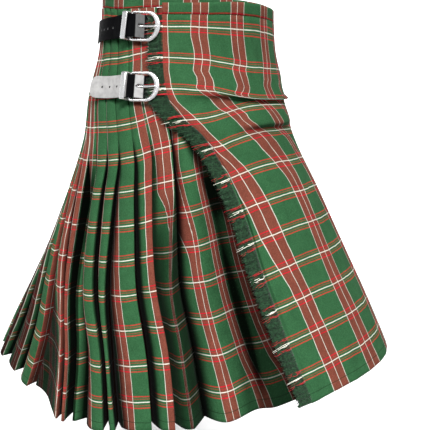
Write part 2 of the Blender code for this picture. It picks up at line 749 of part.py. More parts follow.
def make_keeper(strap, metal):
    """A flat band right round the strap and the chape, just behind the bar."""
    width, height, depth = KEEPER_SIZE
    lean = Matrix.Rotation(math.radians(-strap.slant), 4, "Z")
    keeper = hip_frame(strap, KEEPER_AT, 0.0, KEEPER_AT + 0.002, 0.0) @ lean
    bevel = 0.0009
    build = bmesh.new()
    loops = []
    for x in (-width / 2, width / 2):
        for grow in (-KEEPER_WALL, 0.0):
            y1, z1 = height / 2 + grow, depth / 2 + grow
            loop = [(y1 - bevel, z1), (y1, z1 - bevel), (y1, bevel - z1), (y1 - bevel, -z1),
                    (bevel - y1, -z1), (-y1, bevel - z1), (-y1, z1 - bevel), (bevel - y1, z1)]
            loops.append([build.verts.new(keeper @ Vector((x, y, z + depth / 2 + KEEPER_LOW)))
                          for y, z in loop])
    for a, b in ((0, 1), (1, 3), (3, 2), (2, 0)):
        for i in range(8):
            j = (i + 1) % 8
            build.faces.new((loops[a][i], loops[a][j], loops[b][j], loops[b][i]))
    add_object("keeper_" + strap.name, mesh_from(build, "keeper"), metal)


# The prong, from over the bar, up through the strap's slot, to the frame's far end:
# distance from the bar, height over the frame's middle, and half width.
Prong = namedtuple("Prong", "past_bar height half_width")
PRONG_WAY = [
    Prong(-0.0002, 0.0031, 0.0015),
    Prong(0.0070, 0.0020, 0.0015),
    Prong(0.0120, 0.0000, 0.0015),
    Prong(0.0180, -0.0006, 0.0015),
    Prong(0.0240, 0.0000, 0.0015),
    Prong(0.0310, 0.0014, 0.0015),
    Prong(0.0370, 0.0032, 0.0014),
    Prong(0.0402, 0.0036, 0.0010),
]
PRONG_THICK = 0.0011


def make_prong(strap, metal):
    frame = buckle_frame(strap)
    build = bmesh.new()
    rings = []
    for step in PRONG_WAY:
        rings.append([build.verts.new(frame @ Vector((
            step.past_bar, step.half_width * math.cos(a), step.height + PRONG_THICK * math.sin(a))))
            for a in (math.radians(60 * n + 30) for n in range(6))])
    for a, b in zip(rings, rings[1:]):
        for i in range(6):
            build.faces.new((a[i], a[(i + 1) % 6], b[(i + 1) % 6], b[i]))
    build.faces.new(rings[0][::-1])
    build.faces.new(rings[-1])
    add_object("prong_" + strap.name, mesh_from(build, "prong"), metal)


# The chape's sewn tail on the hip: distance from the bar, and height over the figure.
TAIL = [Way(-0.034, 0.0011), Way(-0.024, 0.0014), Way(-0.0145, 0.0025), Way(-0.0090, 0.0030)]


def make_chape(strap, leather):
    """The short leather that goes round the bar and is sewn on the pleats behind it."""
    frame = buckle_frame(strap)
    degree = float(metres_per_degree(strap.bar, strap.drop))
    sideways = (-1.0, -0.3, 0.3, 1.0)
    rows = [[place(strap.bar + step.past_bar / degree, strap.drop - y * TAB_WIDTH / 2, step.out)
             for y in sideways] for step in TAIL]
    radius = WIRE * 1.08 + GAP + TAB_THICK / 2 + 0.0003
    turns = [math.radians(d) for d in (-112, -65, -20, 25, 70, 112)]
    loop = [(radius * math.cos(a), radius * math.sin(a)) for a in turns]
    loop.append((-0.0042, radius * 0.78))
    rows += [[frame @ Vector((x, y * TAB_WIDTH / 2, z)) for y in sideways] for x, z in loop]
    piece = sheet("chape_" + strap.name, rows, TAB_THICK, leather)
    middle_of_slot = frame @ Matrix.Translation((0.0010, 0.0, 0.0024))
    cut(piece, cutter_box("chape_slot_" + strap.name, middle_of_slot,
                          (0.0170, 2 * SLOT_HALF, 0.0085)))


# ---------------------------------------------------------------- the whole kilt
clear_scene()
KILT = collection("kilt")
CUTTERS = collection("kilt_cutters", hidden=True)

cloth_green = finish("tartan_cloth", (0.055, 0.19, 0.09), 0.85)
cloth_red = finish("tartan_waistband", (0.26, 0.06, 0.06), 0.85)
fringe_green = finish("frayed_threads", (0.03, 0.10, 0.06), 0.95)
black_leather = finish("black_leather", (0.02, 0.02, 0.02), 0.45)
grey_leather = finish("grey_leather", (0.55, 0.55, 0.55), 0.6)
chrome = finish("polished_chrome", (0.85, 0.85, 0.86), 0.12, 1.0)

make_pleats(cloth_green)
make_under_apron(cloth_green)
make_outer_apron(cloth_green)
make_waistbands(cloth_red)
make_fringe(fringe_green)
for strap in STRAPS:
    leather = black_leather if strap.name == "upper" else grey_leather
    make_strap(strap, leather)
    make_chape(strap, black_leather)
    make_buckle(strap, chrome)
    make_keeper(strap, chrome)
    make_prong(strap, chrome)
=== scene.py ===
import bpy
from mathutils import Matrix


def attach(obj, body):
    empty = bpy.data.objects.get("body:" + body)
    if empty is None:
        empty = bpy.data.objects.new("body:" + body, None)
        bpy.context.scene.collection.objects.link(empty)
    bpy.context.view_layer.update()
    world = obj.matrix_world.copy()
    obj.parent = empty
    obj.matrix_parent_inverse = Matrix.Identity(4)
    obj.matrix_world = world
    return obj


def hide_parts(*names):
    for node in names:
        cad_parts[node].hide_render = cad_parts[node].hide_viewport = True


bl_info = {
    "name": "Tartan kilt",
    "version": (1, 0, 0),
    "blender": (4, 5, 0),
    "location": "3D View > Sidebar > Kilt",
    "description": "Dresses a pleated kilt with tartan cloth, frayed edge, straps and buckles",
    "category": "Object",
}

import math
from collections import namedtuple

import bmesh
import bpy
import numpy as np
from bpy.props import FloatVectorProperty, IntProperty, PointerProperty
from mathutils import Matrix, Vector

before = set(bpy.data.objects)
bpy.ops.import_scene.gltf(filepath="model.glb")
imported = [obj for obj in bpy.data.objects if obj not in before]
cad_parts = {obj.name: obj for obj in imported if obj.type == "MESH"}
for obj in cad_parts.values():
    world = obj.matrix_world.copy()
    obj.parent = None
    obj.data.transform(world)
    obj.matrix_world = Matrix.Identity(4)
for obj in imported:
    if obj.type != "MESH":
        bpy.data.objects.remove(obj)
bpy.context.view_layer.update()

# Places on the cloth: station is the angle round the figure in degrees, 0 at the wearer's
# right and 90 at the front; drop is the distance down the cloth from the rim; out is how
# far the cloth stands off the figure. Metres elsewhere.

# ---------------------------------------------------------------- driving sizes, in metres
CLOTH = 0.0012              # thickness of one wall of cloth
BAND = 0.0018               # thickness of the folded waistband
GAP = 0.0003                # space left between pieces that meet
SEAM = 0.0155               # drop of the seam under the waistband
HEM = 0.605                 # drop of the hem
FELL_END = 0.188            # drop down to which the folds are stitched flat
APRON_OUT = 0.0024          # how far the outer apron stands outside the pleats
APRON_LIFT = 0.0028         # further lift of its free edge where it lies on the straps
UNDER_OUT = -0.0045         # the under apron lies inside the outer one
PLEAT_OUT = -0.0021         # the pleats' pressed edges

LEFT_HIP = 187.0            # station where the outer apron becomes the first pleat
BACK_START = LEFT_HIP - 360.0      # the same place, for what goes round the back
UNDER_END = 162.0           # station of the under apron's free edge
RIGHT_PLEATS = 9            # pleats on the right side, from their table
HIDDEN_PLEATS = 11          # pleats after them, round the back
PLEATS = RIGHT_PLEATS + HIDDEN_PLEATS
STATION_STEP = 6.0          # degrees between the columns of the plain panels

FRINGE_BACKING = 0.003      # width of the strip that holds the strands' roots
FRINGE_REACH = 0.0205       # from the strip to the strands' tips
FRINGE_DROOP = 0.0030       # the strands' tips lie in towards the figure
CLUMPS_APART = 0.0060       # the strands lean together in clumps
EDGE_DEGREES = 7.0          # degrees of station that the strands cover
MAT_THICK = 0.0007          # thickness of the matted threads under the loose ones
MAT_IN = 0.0012             # how far the mat reaches in from the cloth's edge
ROOT_IN = 0.0015            # how far the loose threads' roots do
WOOL_SHOWS = 0.030          # their place in the tartan's repeat: plain green

STRAP_WIDTH = 0.03175
STRAP_THICK = 0.0018
STRAP_EDGE = 0.0004         # rounding of its edges
STRAP_LOW = 0.0020          # height of its free end's middle over the figure
TIP = 0.012                 # length of its rounded tip
BUCKLE_HEIGHT = 0.0375      # between the middles of the frame's two arms
BUCKLE_WIDTH = 0.0395       # from the middle of the bar to the middle of the far end
BUCKLE_ROUND = 0.0165       # length of the frame's round end
BUCKLE_CORNER = 0.0030      # turn of the wire from an arm to the bar
BUCKLE_OUT = 0.0073         # height of the bar's middle over the figure
BUCKLE_FAR_OUT = 0.0108     # height of the far end's middle over the figure
WIRE = 0.0016               # half the thickness of the frame
WIRE_SIDES = 14
KEEPER_SIZE = (0.0080, 0.0388, 0.0166)
KEEPER_WALL = 0.0013
KEEPER_CORNER = 0.0022
KEEPER_AT = -0.0060         # from the bar
KEEPER_LOW = 0.0006         # height of its back over the figure
KEEPER_SECTION = [(1.0, 0.6), (0.75, 1.0), (0.0, 1.15), (-0.75, 1.0),
                  (-1.0, 0.6), (-1.0, -1.0), (0.0, -1.0), (1.0, -1.0)]

# ---------------------------------------------------------------- tables
def table(columns, *rows):
    """Rows of values under named columns, the first of which is the key to the others."""
    row_kind = namedtuple("Row", columns)
    return [row_kind(*row) for row in rows]


def read(rows, name, at):
    """A smooth value from a table's column, with the table's first column as the key."""
    keys = np.array([row[0] for row in rows], float)
    values = np.array([getattr(row, name) for row in rows], float)
    at = np.clip(np.asarray(at, float), keys[0], keys[-1])
    i = np.clip(np.searchsorted(keys, at, side="right") - 1, 0, len(keys) - 2)
    steps = np.diff(values) / np.diff(keys)
    slopes = np.concatenate([steps[:1], (steps[1:] + steps[:-1]) / 2, steps[-1:]])
    turns = np.concatenate([[False], steps[1:] * steps[:-1] <= 0, [False]])
    slopes[turns] = 0.0
    width = keys[i + 1] - keys[i]
    u = (at - keys[i]) / width
    return (values[i] * (2 * u**3 - 3 * u**2 + 1) + values[i + 1] * (3 * u**2 - 2 * u**3)
            + width * (slopes[i] * (u**3 - 2 * u**2 + u) + slopes[i + 1] * (u**3 - u**2)))


def read_row(rows, at):
    """All the values of a table at one place, without the key."""
    return [read(rows, name, at) for name in rows[0]._fields[1:]]


def ramp(x, low, high):
    """0 below low, 1 above high, smooth between."""
    u = np.clip((np.asarray(x, float) - low) / (high - low), 0.0, 1.0)
    return u * u * (3 - 2 * u)


def between(x, low, full, still, over):
    """Rises from 0 at low to 1 at full, and falls from 1 at still to 0 at over."""
    return ramp(x, low, full) * (1 - ramp(x, still, over))


# ---------------------------------------------------------------- the figure under the cloth
FIGURE = table(
    "drop side front back",
    (-0.03, 0.16, 0.132, 0.123), (0, 0.16, 0.132, 0.124), (0.074, 0.168, 0.136, 0.131),
    (0.134, 0.18, 0.149, 0.148), (0.204, 0.193, 0.167, 0.158), (0.294, 0.215, 0.208, 0.189),
    (0.394, 0.24, 0.252, 0.231), (0.494, 0.262, 0.296, 0.281), (0.594, 0.284, 0.336, 0.328),
    (0.65, 0.295, 0.355, 0.35))

# How far the pleats and the under apron hang below their place on a level kilt.
# rise is for the waist, shift for the body of the cloth, low for the hem; sink is how far
# the pleats stand back from the figure at the hem.
UNDER_HANG = table(
    "station rise shift low sink",
    (-180, -0.004, 0, -0.004, 0),
    (-150, -0.014, 0.003, -0.006, 0),
    (-75, -0.015, 0.008, -0.01, 0),
    (-66, -0.015, 0.008, -0.01, -0.002),
    (-58, -0.013, 0.008, -0.009, 0.004),
    (-48, -0.01, 0.008, -0.008, 0.017),
    (-36, -0.007, 0.008, -0.007, 0.019),
    (-26, -0.003, 0.006, -0.005, 0.009),
    (-18, -0.001, 0.005, -0.002, 0.001),
    (-7, 0, 0.001, -0.001, 0),
    (3, 0, -0.005, -0.006, 0),
    (10, 0, -0.0125, -0.0105, 0),
    (20, 0, -0.02, -0.015, 0),
    (28, 0, -0.026, -0.02, 0),
    (36, 0, -0.032, -0.026, 0),
    (60, 0, -0.038, -0.036, 0),
    (110, 0, -0.03, -0.03, 0),
    (165, -0.002, 0, -0.002, 0),
    (190, -0.004, 0, -0.004, 0))

# The outer apron, down the cloth: plain is its sag near the free edge; folded and bulge
# give the soft fold across the front, where the cloth above hangs over the cloth below.
APRON_FOLD = table(
    "cloth plain folded bulge",
    (0, 0.01, 0.003, 0),
    (0.033, 0.01, 0.0095, 0),
    (0.081, 0.004, 0.015, 0.002),
    (0.105, 0.002, 0.015, 0.004),
    (0.12, 0, 0.0155, 0.0066),
    (0.13, -0.001, 0.013, 0.0078),
    (0.137, -0.001, 0.003, 0.006),
    (0.147, -0.002, -0.013, 0.0008),
    (0.158, -0.003, -0.021, -0.0018),
    (0.18, -0.005, -0.027, -0.001),
    (0.205, -0.008, -0.034, 0),
    (0.3, -0.01, -0.035, 0),
    (0.65, -0.011, -0.034, 0))
FOLD_STRENGTH = table(
    "station fold bulge",
    (0, 0, 0), (18, 0, 0), (31, 0.12, 0.6), (40, 0.28, 0.9), (46, 0.5, 1), (52, 0.7, 1),
    (60, 0.9, 1), (72, 1, 1), (92, 1, 1), (115, 0.8, 0.8), (140, 0.4, 0.4), (165, 0, 0),
    (190, 0, 0))

# Its rows stand closest where it folds: the drop reached and the rows up to there.
APRON_ROWS = ((0.105, 14), (0.160, 34), (0.235, 44))
# Stations of the second, smaller fold under the first and of the trough beside them:
# where each begins, is full, is full still and ends.
ROLL_STATIONS = (48.0, 66.0, 86.0, 112.0)
TROUGH_STATIONS = (84.0, 104.0, 128.0, 150.0)

# The outer apron's free edge swings to the front below the straps.
FREE_EDGE = table(
    "drop station",
    (0, 13.2), (0.05, 13.4), (0.11, 14.6), (0.15, 18), (0.18, 26), (0.207, 33), (0.245, 38.6),
    (0.32, 43.4), (0.42, 45.6), (0.527, 48.3), (0.594, 50.6))

# The pressed folds on the wearer's right, by station, from the fell down to the hem.
# lean and opened tell how far the fold behind an edge lies under it (-) or past it (+).
FOLDS = table(
    "drop e8 e7 e6 e5 e4 e3 e2 e1 e0 lean opened first depth",
    (0.015, -67, -59, -50, -41.5, -31.5, -22.5, -12.5, -3, 9, -0.006, -0.006, -0.002, 0.0066),
    (0.084, -62, -53, -44, -35.5, -26, -17.5, -8.5, 0, 11, -0.006, -0.006, -0.002, 0.0066),
    (0.154, -58, -49, -41, -32.5, -22, -14, -4.9, 2.8, 13.5, -0.006, -0.006, -0.002, 0.007),
    (0.204, -55, -45, -36, -28, -18, -10, -1.2, 7, 17.3, -0.006, -0.006, -0.002, 0.0082),
    (0.232, -53, -43, -34, -25.5, -16.5, -8.6, 0.5, 9, 18.4, -0.006, -0.005, -0.001, 0.0105),
    (0.274, -50, -40, -31, -25, -16.3, -8.5, 1.5, 9.6, 18.6, -0.007, -0.003, 0, 0.015),
    (0.344, -43.5, -33.5, -27, -23, -14.2, -7.4, 3.2, 10.3, 17.4, -0.009, 0, 0.005, 0.021),
    (0.414, -37.5, -28, -23.6, -20, -11.2, -5.9, 5, 11.6, 16.8, -0.01, 0.005, 0.008, 0.025),
    (0.504, -34, -19.8, -16.4, -13.8, -5, -1.8, 8.7, 14.8, 19, -0.011, 0.012, 0.011, 0.029),
    (0.64, -35.5, -14.5, -12.4, -10.2, -0.6, 2.9, 11.6, 16.5, 21.6, -0.012, 0.018, 0.013, 0.032))
OPENED_EDGES = (5, 11, 14, 17)      # edges whose fold stands open at the hem
DENTED_PLEAT = 7                    # this pleat's face is bent in along its middle
LAST_EDGE_TOP = -162.0              # station of the hindmost pleat's edge at the waist
LAST_EDGE_HEM = -160.0              # and at the hem

# The soft waves of the under apron beside the last pleat: stations and depths, at their
# top and at the hem.
UNDER_WAVES = table(
    "name station_top station_hem depth_top depth_hem",
    ("first_ridge", 23.5, 29.3, 0.001, 0.0015),
    ("second_valley", 30, 36.9, 0.0045, 0.015),
    ("second_ridge", 38, 41.5, 0.0045, 0.005),
    ("covered", 52, 56, 0.0045, 0.0085))
WAVE_TOP = 0.240            # drop where they begin
WAVES_END = 56.0            # station where the plain front begins


# ---------------------------------------------------------------- the draped figure
DROP_PITCH = 0.005
STATION_PITCH = 2.0
DROPS = np.arange(-0.030, 0.6501, DROP_PITCH)
STATIONS = np.arange(-200.0, 201.0, STATION_PITCH)
JUST_INSIDE = 1.001         # keeps a place inside the last cell of the grid


def girth(station, drop):
    """Half widths of the figure across the station's own half of the body."""
    side = read(FIGURE, "side", drop)
    front = read(FIGURE, "front", drop)
    back = read(FIGURE, "back", drop)
    return side, np.where(np.sin(np.radians(station)) > 0, front, back)


def fall_table():
    """Height for each station and drop: the cloth keeps its length as it spreads."""
    station, drop = np.meshgrid(STATIONS, DROPS, indexing="ij")
    side, depth = girth(station, drop)
    x = -side * np.cos(np.radians(station))
    y = -depth * np.sin(np.radians(station))
    widening = np.hypot(np.diff(x, axis=1), np.diff(y, axis=1))
    step = DROPS[1] - DROPS[0]
    down = np.sqrt(np.maximum(step**2 - widening**2, 1e-8))
    height = -np.concatenate([np.zeros((len(STATIONS), 1)), np.cumsum(down, axis=1)], axis=1)
    at_rim = int(round(-DROPS[0] / step))
    return height - height[:, at_rim:at_rim + 1]


FALL = fall_table()


def place(station, drop, out):
    """Points in space for stations, drops and outs of equal shape."""
    station, drop, out = np.broadcast_arrays(
        np.asarray(station, float), np.asarray(drop, float), np.asarray(out, float))
    angle = np.radians(station)
    side, depth = girth(station, drop)
    normal = np.stack([-np.cos(angle) / side, -np.sin(angle) / depth], axis=-1)
    normal /= np.linalg.norm(normal, axis=-1, keepdims=True)
    i = np.clip((station - STATIONS[0]) / STATION_PITCH, 0, len(STATIONS) - JUST_INSIDE)
    j = np.clip((drop - DROPS[0]) / DROP_PITCH, 0, len(DROPS) - JUST_INSIDE)
    i0, j0 = i.astype(int), j.astype(int)
    u, v = i - i0, j - j0
    z = ((1 - u) * ((1 - v) * FALL[i0, j0] + v * FALL[i0, j0 + 1])
         + u * ((1 - v) * FALL[i0 + 1, j0] + v * FALL[i0 + 1, j0 + 1]))
    return np.stack([-side * np.cos(angle) + out * normal[..., 0],
                     -depth * np.sin(angle) + out * normal[..., 1], z], axis=-1)


def metres_per_degree(station, drop):
    """Arc length of one degree of station."""
    angle = np.radians(station)
    side, depth = girth(station, drop)
    return np.hypot(side * np.sin(angle), depth * np.cos(angle)) * math.pi / 180


def spread(station, drop):
    """How fast the figure widens with the drop."""
    near, far = place(station, drop, 0.0), place(station, drop + 2 * DROP_PITCH, 0.0)
    return np.linalg.norm((far - near)[:2]) / (2 * DROP_PITCH)


def under_drop(station, cloth):
    """Where the cloth of the pleats and under apron hangs, for its own length down."""
    weight = ramp(cloth, 0.0, 0.120)
    low = ramp(cloth, 0.35, HEM)
    body = read(UNDER_HANG, "shift", station)
    hang = body + low * (read(UNDER_HANG, "low", station) - body)
    return cloth + weight * hang + (1 - weight) * read(UNDER_HANG, "rise", station)


def at_left(station):
    """0 over the front, 1 at the left hip, where the outer apron runs into the pleats."""
    return ramp(station, 150.0, LEFT_HIP)


def apron_drop(station, cloth):
    """Where the outer apron's cloth hangs, for its own length down."""
    fold = read(FOLD_STRENGTH, "fold", station)
    left = at_left(station)
    shift = (1 - fold) * read(APRON_FOLD, "plain", cloth) + fold * read(APRON_FOLD, "folded", cloth)
    return cloth + shift * (1 - left) + left * (under_drop(station - 360.0, cloth) - cloth)


def apron_out(station, cloth):
    """How far the outer apron stands out: over the straps, over its fold, in at the hip."""
    edge = read(FREE_EDGE, "station", cloth)
    lifted = APRON_LIFT * (1 - ramp(station - edge, 2.0, 16.0)) * (1 - ramp(cloth, 0.16, 0.24))
    bulge = read(FOLD_STRENGTH, "bulge", station) * read(APRON_FOLD, "bulge", cloth)
    left = at_left(station)
    return (APRON_OUT + lifted + bulge) * (1 - left) + left * PLEAT_OUT


# ---------------------------------------------------------------- the straps' tables
STRAPS = table(
    "name drop bar slant tip_station tip_out",
    ("upper", 0.0415, -5, 4, -62, 0.0022),
    ("lower", 0.1265, -2.7, 1.5, -33, 0.011))
# The strap's way, from under the apron over the buckle's bar towards its free end:
# distance past the bar, and the height of the strap's middle over the figure.
STRAP_WAY = table(
    "past_bar out",
    (0.054, 0.0018), (0.044, 0.0018), (0.034, 0.0018), (0.026, 0.0019), (0.0225, 0.0026),
    (0.018, 0.0052), (0.0125, 0.0092), (0.0075, 0.0118), (0, 0.0129), (-0.006, 0.0121),
    (-0.014, 0.0097), (-0.024, 0.0062), (-0.034, 0.004))

# The prong's way in the buckle's own axes, from the bar to its tip.
PRONG_WAY = table(
    "past_bar height half_width",
    (-0.0002, 0.0031, 0.0015), (0.007, 0.002, 0.0015), (0.012, 0, 0.0015),
    (0.018, -0.0006, 0.0015), (0.024, 0, 0.0015), (0.031, 0.0014, 0.0015),
    (0.037, 0.0032, 0.0014), (0.0402, 0.0036, 0.001))
PRONG_THICK = 0.0011

# Distances along each strap to its punched holes, and the holes' size.
STRAP_HOLES = {
    "upper": (0.0475, 0.102, 0.118, 0.132, 0.146),
    "lower": (0.0475, 0.066, 0.083, 0.1015, 0.120),
}
HOLE_RADIUS = 0.0016
SLOT_AT = 0.0177            # middle of the prong's slot, past the bar
SLOT_SIZE = (0.0115, 0.0044)
PUNCH_DEPTH = 0.008

# The stage. A lamp's bearing and height say where its light comes from, in degrees, and
# softness is the angle that it fills.
FLOOR = -1.30
FLOOR_HALF = 14.0           # half the floor's side
SWEEP_IN, SWEEP_OUT, SWEEP_TOP = 3.0, 4.0, 3.0     # the round backdrop
CAMERA_AT = (-1.2 * math.cos(math.radians(23)), -1.2 * math.sin(math.radians(23)), -0.138)
CAMERA_BEARING = 20.87
CAMERA_PITCH = -9.17
LENS, SENSOR = 61.2, 36.0   # in millimetres
SKY = 0.16
LAMPS = table(
    "name bearing height strength softness",
    ("key", -152, 39, 5, 14), ("fill", 165, 40, 1.5, 30))


def edge_station(number, drop):
    """Station of a pleat's pressed edge: from the table at the right, evenly round the back."""
    if number < RIGHT_PLEATS:
        return read(FOLDS, "e%d" % number, drop)
    eighth = read(FOLDS, "e8", drop)
    last = LAST_EDGE_TOP + (LAST_EDGE_HEM - LAST_EDGE_TOP) * ramp(drop, SEAM, HEM)
    return eighth + (last - eighth) * (number - 8) / HIDDEN_PLEATS


def fold_lean(number, drop):
    """How far the fold behind a pleat's edge lies under it (-) or past it (+), in metres."""
    if number == 0:
        return read(FOLDS, "first", drop)
    return read(FOLDS, "opened" if number in OPENED_EDGES else "lean", drop)


# ---------------------------------------------------------------- the tartan on each piece
TOP_OF_CLOTH = 0.016        # length of cloth folded into the waist above drop 0
BAND_COLOURS_FROM = 0.0270  # place down the tartan of the waistband's rim
WARP = 0.057                # the tartan's repeat across the cloth
WEFT = 0.0485               # and down the cloth
BAND_HALF = 0.0111          # from the middle of a double band to its outer white line

# What each pleat's face shows: the place in the repeat, in metres from the middle of a
# double band, at its pressed edge, in the fell and at the hem.
PLEAT_SHOWS = table(
    "number fell hem",
    (0, 0.0138, 0.0113), (1, -0.0003, -0.003), (2, 0.0372, 0.0345), (3, 0.032, 0.025),
    (4, 0.0305, 0.03), (5, 0.0146, 0.02), (6, 0.0112, 0.0085), (7, 0.045, 0.058),
    (8, 0.033, 0.04), (9, 0.0105, 0.0105), (10, 0.0105, 0.0105), (11, 0.0105, 0.0105),
    (12, 0.046, 0.046), (13, 0.012, 0.012), (14, 0.03, 0.03), (15, 0.046, 0.046),
    (16, 0.012, 0.012), (17, 0.03, 0.03), (18, 0.046, 0.046), (19, 0.012, 0.012))

# Faces that lie back behind their neighbours below the fell, and how much shade is painted on each
# one.
SHADED_PLEATS = {5: 0.85, 9: 0.78, 10: 0.88, 11: 0.88}
WALL_SHOWS = {8: -0.0105}   # the tartan's place at an edge, on the layer turned in there
SUNK_PLEAT = 5

# Stations of the double bands' middles down the under apron, and under seam the place in
# the repeat where it starts at its seam.
UNDER_BANDS = table(
    "drop seam first second third",
    (0, 0.046, 20, 44, 68),
    (0.15, 0.055, 18.8, 39, 60),
    (0.22, 0.055, 19.2, 32.5, 47),
    (0.26, 0.054, 19.9, 30.2, 39.5),
    (0.3, 0.051, 21.6, 30.4, 37.6),
    (0.352, 0.0455, 24.5, 31.4, 38.6),
    (0.4, 0.024, 25.1, 32, 39.2),
    (0.447, 0.02, 26.1, 32.8, 40.2),
    (0.49, 0.018, 27.3, 34, 41.4),
    (0.534, 0.016, 28.8, 35.6, 43.6),
    (0.574, 0.014, 29.8, 38, 46.8),
    (0.64, 0.013, 31, 40, 49))

# Stations of the bands down the outer apron: the middle and the far side of the first band,
# both sides of the second, and the middles of the third and fourth.
APRON_LINES = table(
    "cloth first first_side second_near second_side third fourth",
    (0, 11.8, 16.2, 29.5, 39, 57.5, 83),
    (0.04, 12, 16.5, 29.4, 38.9, 58, 83.5),
    (0.075, 12.8, 17.3, 31.2, 40, 58.4, 82),
    (0.088, 13, 17.5, 31, 39.5, 56.4, 79.5),
    (0.099, 13, 17.5, 30.3, 38.5, 57, 78),
    (0.11, 13.5, 18.1, 31.8, 40, 57.5, 75),
    (0.118, 13.8, 18.4, 31.8, 40.1, 56, 75.5),
    (0.125, 14.2, 18.7, 31.2, 39.8, 54, 76.3),
    (0.134, 15, 19.6, 34, 42.5, 58, 78.5),
    (0.142, 16.6, 20.8, 37.2, 46.2, 62, 81),
    (0.149, 18.7, 22, 38.9, 48.3, 64.4, 83.5),
    (0.16, 21.7, 25.3, 41, 50.1, 66.6, 86.5),
    (0.17, 23.9, 28.5, 43.4, 51.8, 70.5, 89),
    (0.18, 26.1, 31.2, 47, 54.6, 74.2, 92),
    (0.19, 28.4, 33.7, 49.3, 57.1, 76, 95),
    (0.2, 31, 35.7, 51.4, 58.2, 77.8, 98.5),
    (0.212, 33.9, 38.6, 54, 63, 79.6, 102.5),
    (0.224, 36.8, 41.3, 56.6, 69, 82.5, 106),
    (0.24, 40.4, 44.6, 60.6, 74.2, 90.5, 110),
    (0.256, 43.9, 47.7, 63.5, 77, 94, 113),
    (0.274, 46.6, 51, 67.6, 78.8, 97, 115),
    (0.298, 48.7, 53.7, 71.2, 80.4, 99.5, 117),
    (0.334, 51.3, 56.1, 72.5, 79.8, 99, 117.5),
    (0.369, 52.8, 57.4, 72.7, 79.4, 99, 118),
    (0.448, 57, 60.4, 72.2, 79.4, 98, 116),
    (0.53, 59.4, 62.4, 73.2, 80.8, 97.5, 114),
    (0.609, 61.4, 64.4, 74.6, 82.2, 97, 112))
APRON_SETT = [0.0, BAND_HALF, WARP - BAND_HALF, WARP + BAND_HALF, 2 * WARP, 3 * WARP]


def along_bands(station, stations, sett):
    """Place in the repeat for stations, through known ones, evenly before the first."""
    value = np.interp(station, stations, sett)
    slope = (sett[1] - sett[0]) / (stations[1] - stations[0])
    return np.where(station < stations[0], sett[0] + slope * (station - stations[0]), value)


def sett_of_apron(station, cloth):
    """Place in the repeat over one row of the outer apron."""
    known = read_row(APRON_LINES, cloth)
    value = along_bands(station, known, APRON_SETT)
    degree = metres_per_degree(0.5 * (station + known[-1]), cloth)
    return np.where(station > known[-1], APRON_SETT[-1] + (station - known[-1]) * degree, value)


def sett_of_under(station, cloth, seam):
    """Place in the repeat over one row of the under apron, from its seam station."""
    at_seam, *bands = read_row(UNDER_BANDS, cloth)
    value = np.interp(station, [seam, *bands], [at_seam, WARP, 2 * WARP, 3 * WARP])
    degree = metres_per_degree(station, cloth)
    return np.where(station > bands[-1], 3 * WARP + (station - bands[-1]) * degree, value)


# ---------------------------------------------------------------- building cloth
def laid_grid(points):
    """A sheet of quads with its corners on a grid of points, numbered row by row."""
    rows, columns = points.shape[:2]
    build = bmesh.new()
    bmesh.ops.create_grid(build, x_segments=columns - 1, y_segments=rows - 1, size=0.5)
    for vertex in build.verts:
        column = int(round((vertex.co.x + 0.5) * (columns - 1)))
        row = int(round((0.5 - vertex.co.y) * (rows - 1)))
        vertex.index = row * columns + column
        vertex.co = points[row, column]
    build.verts.sort()
    return build


def finished(build, name):
    """The mesh of a finished build."""
    mesh = bpy.data.meshes.new(name)
    build.to_mesh(mesh)
    build.free()
    return mesh


def in_scene(name, data):
    """An object of this data, untransformed, in the scene."""
    thing = bpy.data.objects.new(name, data)
    bpy.context.scene.collection.objects.link(thing)
    return thing


def dressed(name, mesh, material):
    """A smooth piece that rides on the kilt's one body."""
    piece = in_scene(name, mesh)
    mesh.materials.append(material)
    mesh.shade_smooth()
    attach(piece, "root")
    return piece


def grid_mesh(name, points, near, far, lengths, depth=None):
    """A sheet over a grid of points, with the tartan's UVs.

    near and far give each quad's place across the cloth at its two sides, row by row;
    lengths gives each row's distance down the cloth, and depth how much shade is painted
    on each corner, from 0 to 1.
    """
    columns = points.shape[1]
    mesh = finished(laid_grid(points), name)
    corner = np.zeros(len(mesh.loops), np.int32)
    mesh.loops.foreach_get("vertex_index", corner)
    column, row = corner % columns, corner // columns
    first = column.reshape(-1, 4).min(axis=1).repeat(4)
    across = np.where(column == first, near[row, first], far[row, first])
    layer = mesh.uv_layers.new(name="tartan")
    layer.uv.foreach_set("vector", np.column_stack([across, lengths[row]]).reshape(-1)
                         .astype(np.float32))
    # Painted shade: each corner's darkening, from 0 to 1, read by the cloth's material.
    if depth is not None:
        layer = mesh.attributes.new("painted_shade", "FLOAT", "POINT")
        layer.data.foreach_set("value", depth.reshape(-1).astype(np.float32))
    mesh.update()
    return mesh


def cloth_object(name, mesh, thickness, material):
    """A wall of cloth or leather on a sheet, its outer side first."""
    piece = dressed(name, mesh, material)
    wall = piece.modifiers.new("wall", "SOLIDIFY")
    wall.thickness = thickness
    wall.offset = 0.0
    wall.use_quality_normals = True
    if not outward(mesh):
        mesh.flip_normals()
    return piece


def sheet_of_rows(name, rows, setts, lengths, thickness, material, painted_shades=None):
    """A wall of cloth through rows of points, with each point's place in the repeat and its painted
    shade.
    """
    sett = np.array(setts)
    mesh = grid_mesh(name, np.array(rows), sett[:, :-1], sett[:, 1:], lengths, painted_shades)
    return cloth_object(name, mesh, thickness, material)


def outward(mesh):
    """True if most faces look away from the upright axis."""
    count = len(mesh.polygons)
    centres, normals = np.zeros(3 * count), np.zeros(3 * count)
    mesh.polygons.foreach_get("center", centres)
    mesh.polygons.foreach_get("normal", normals)
    centres, normals = centres.reshape(-1, 3), normals.reshape(-1, 3)
    return float((centres[:, :2] * normals[:, :2]).sum()) > 0.0


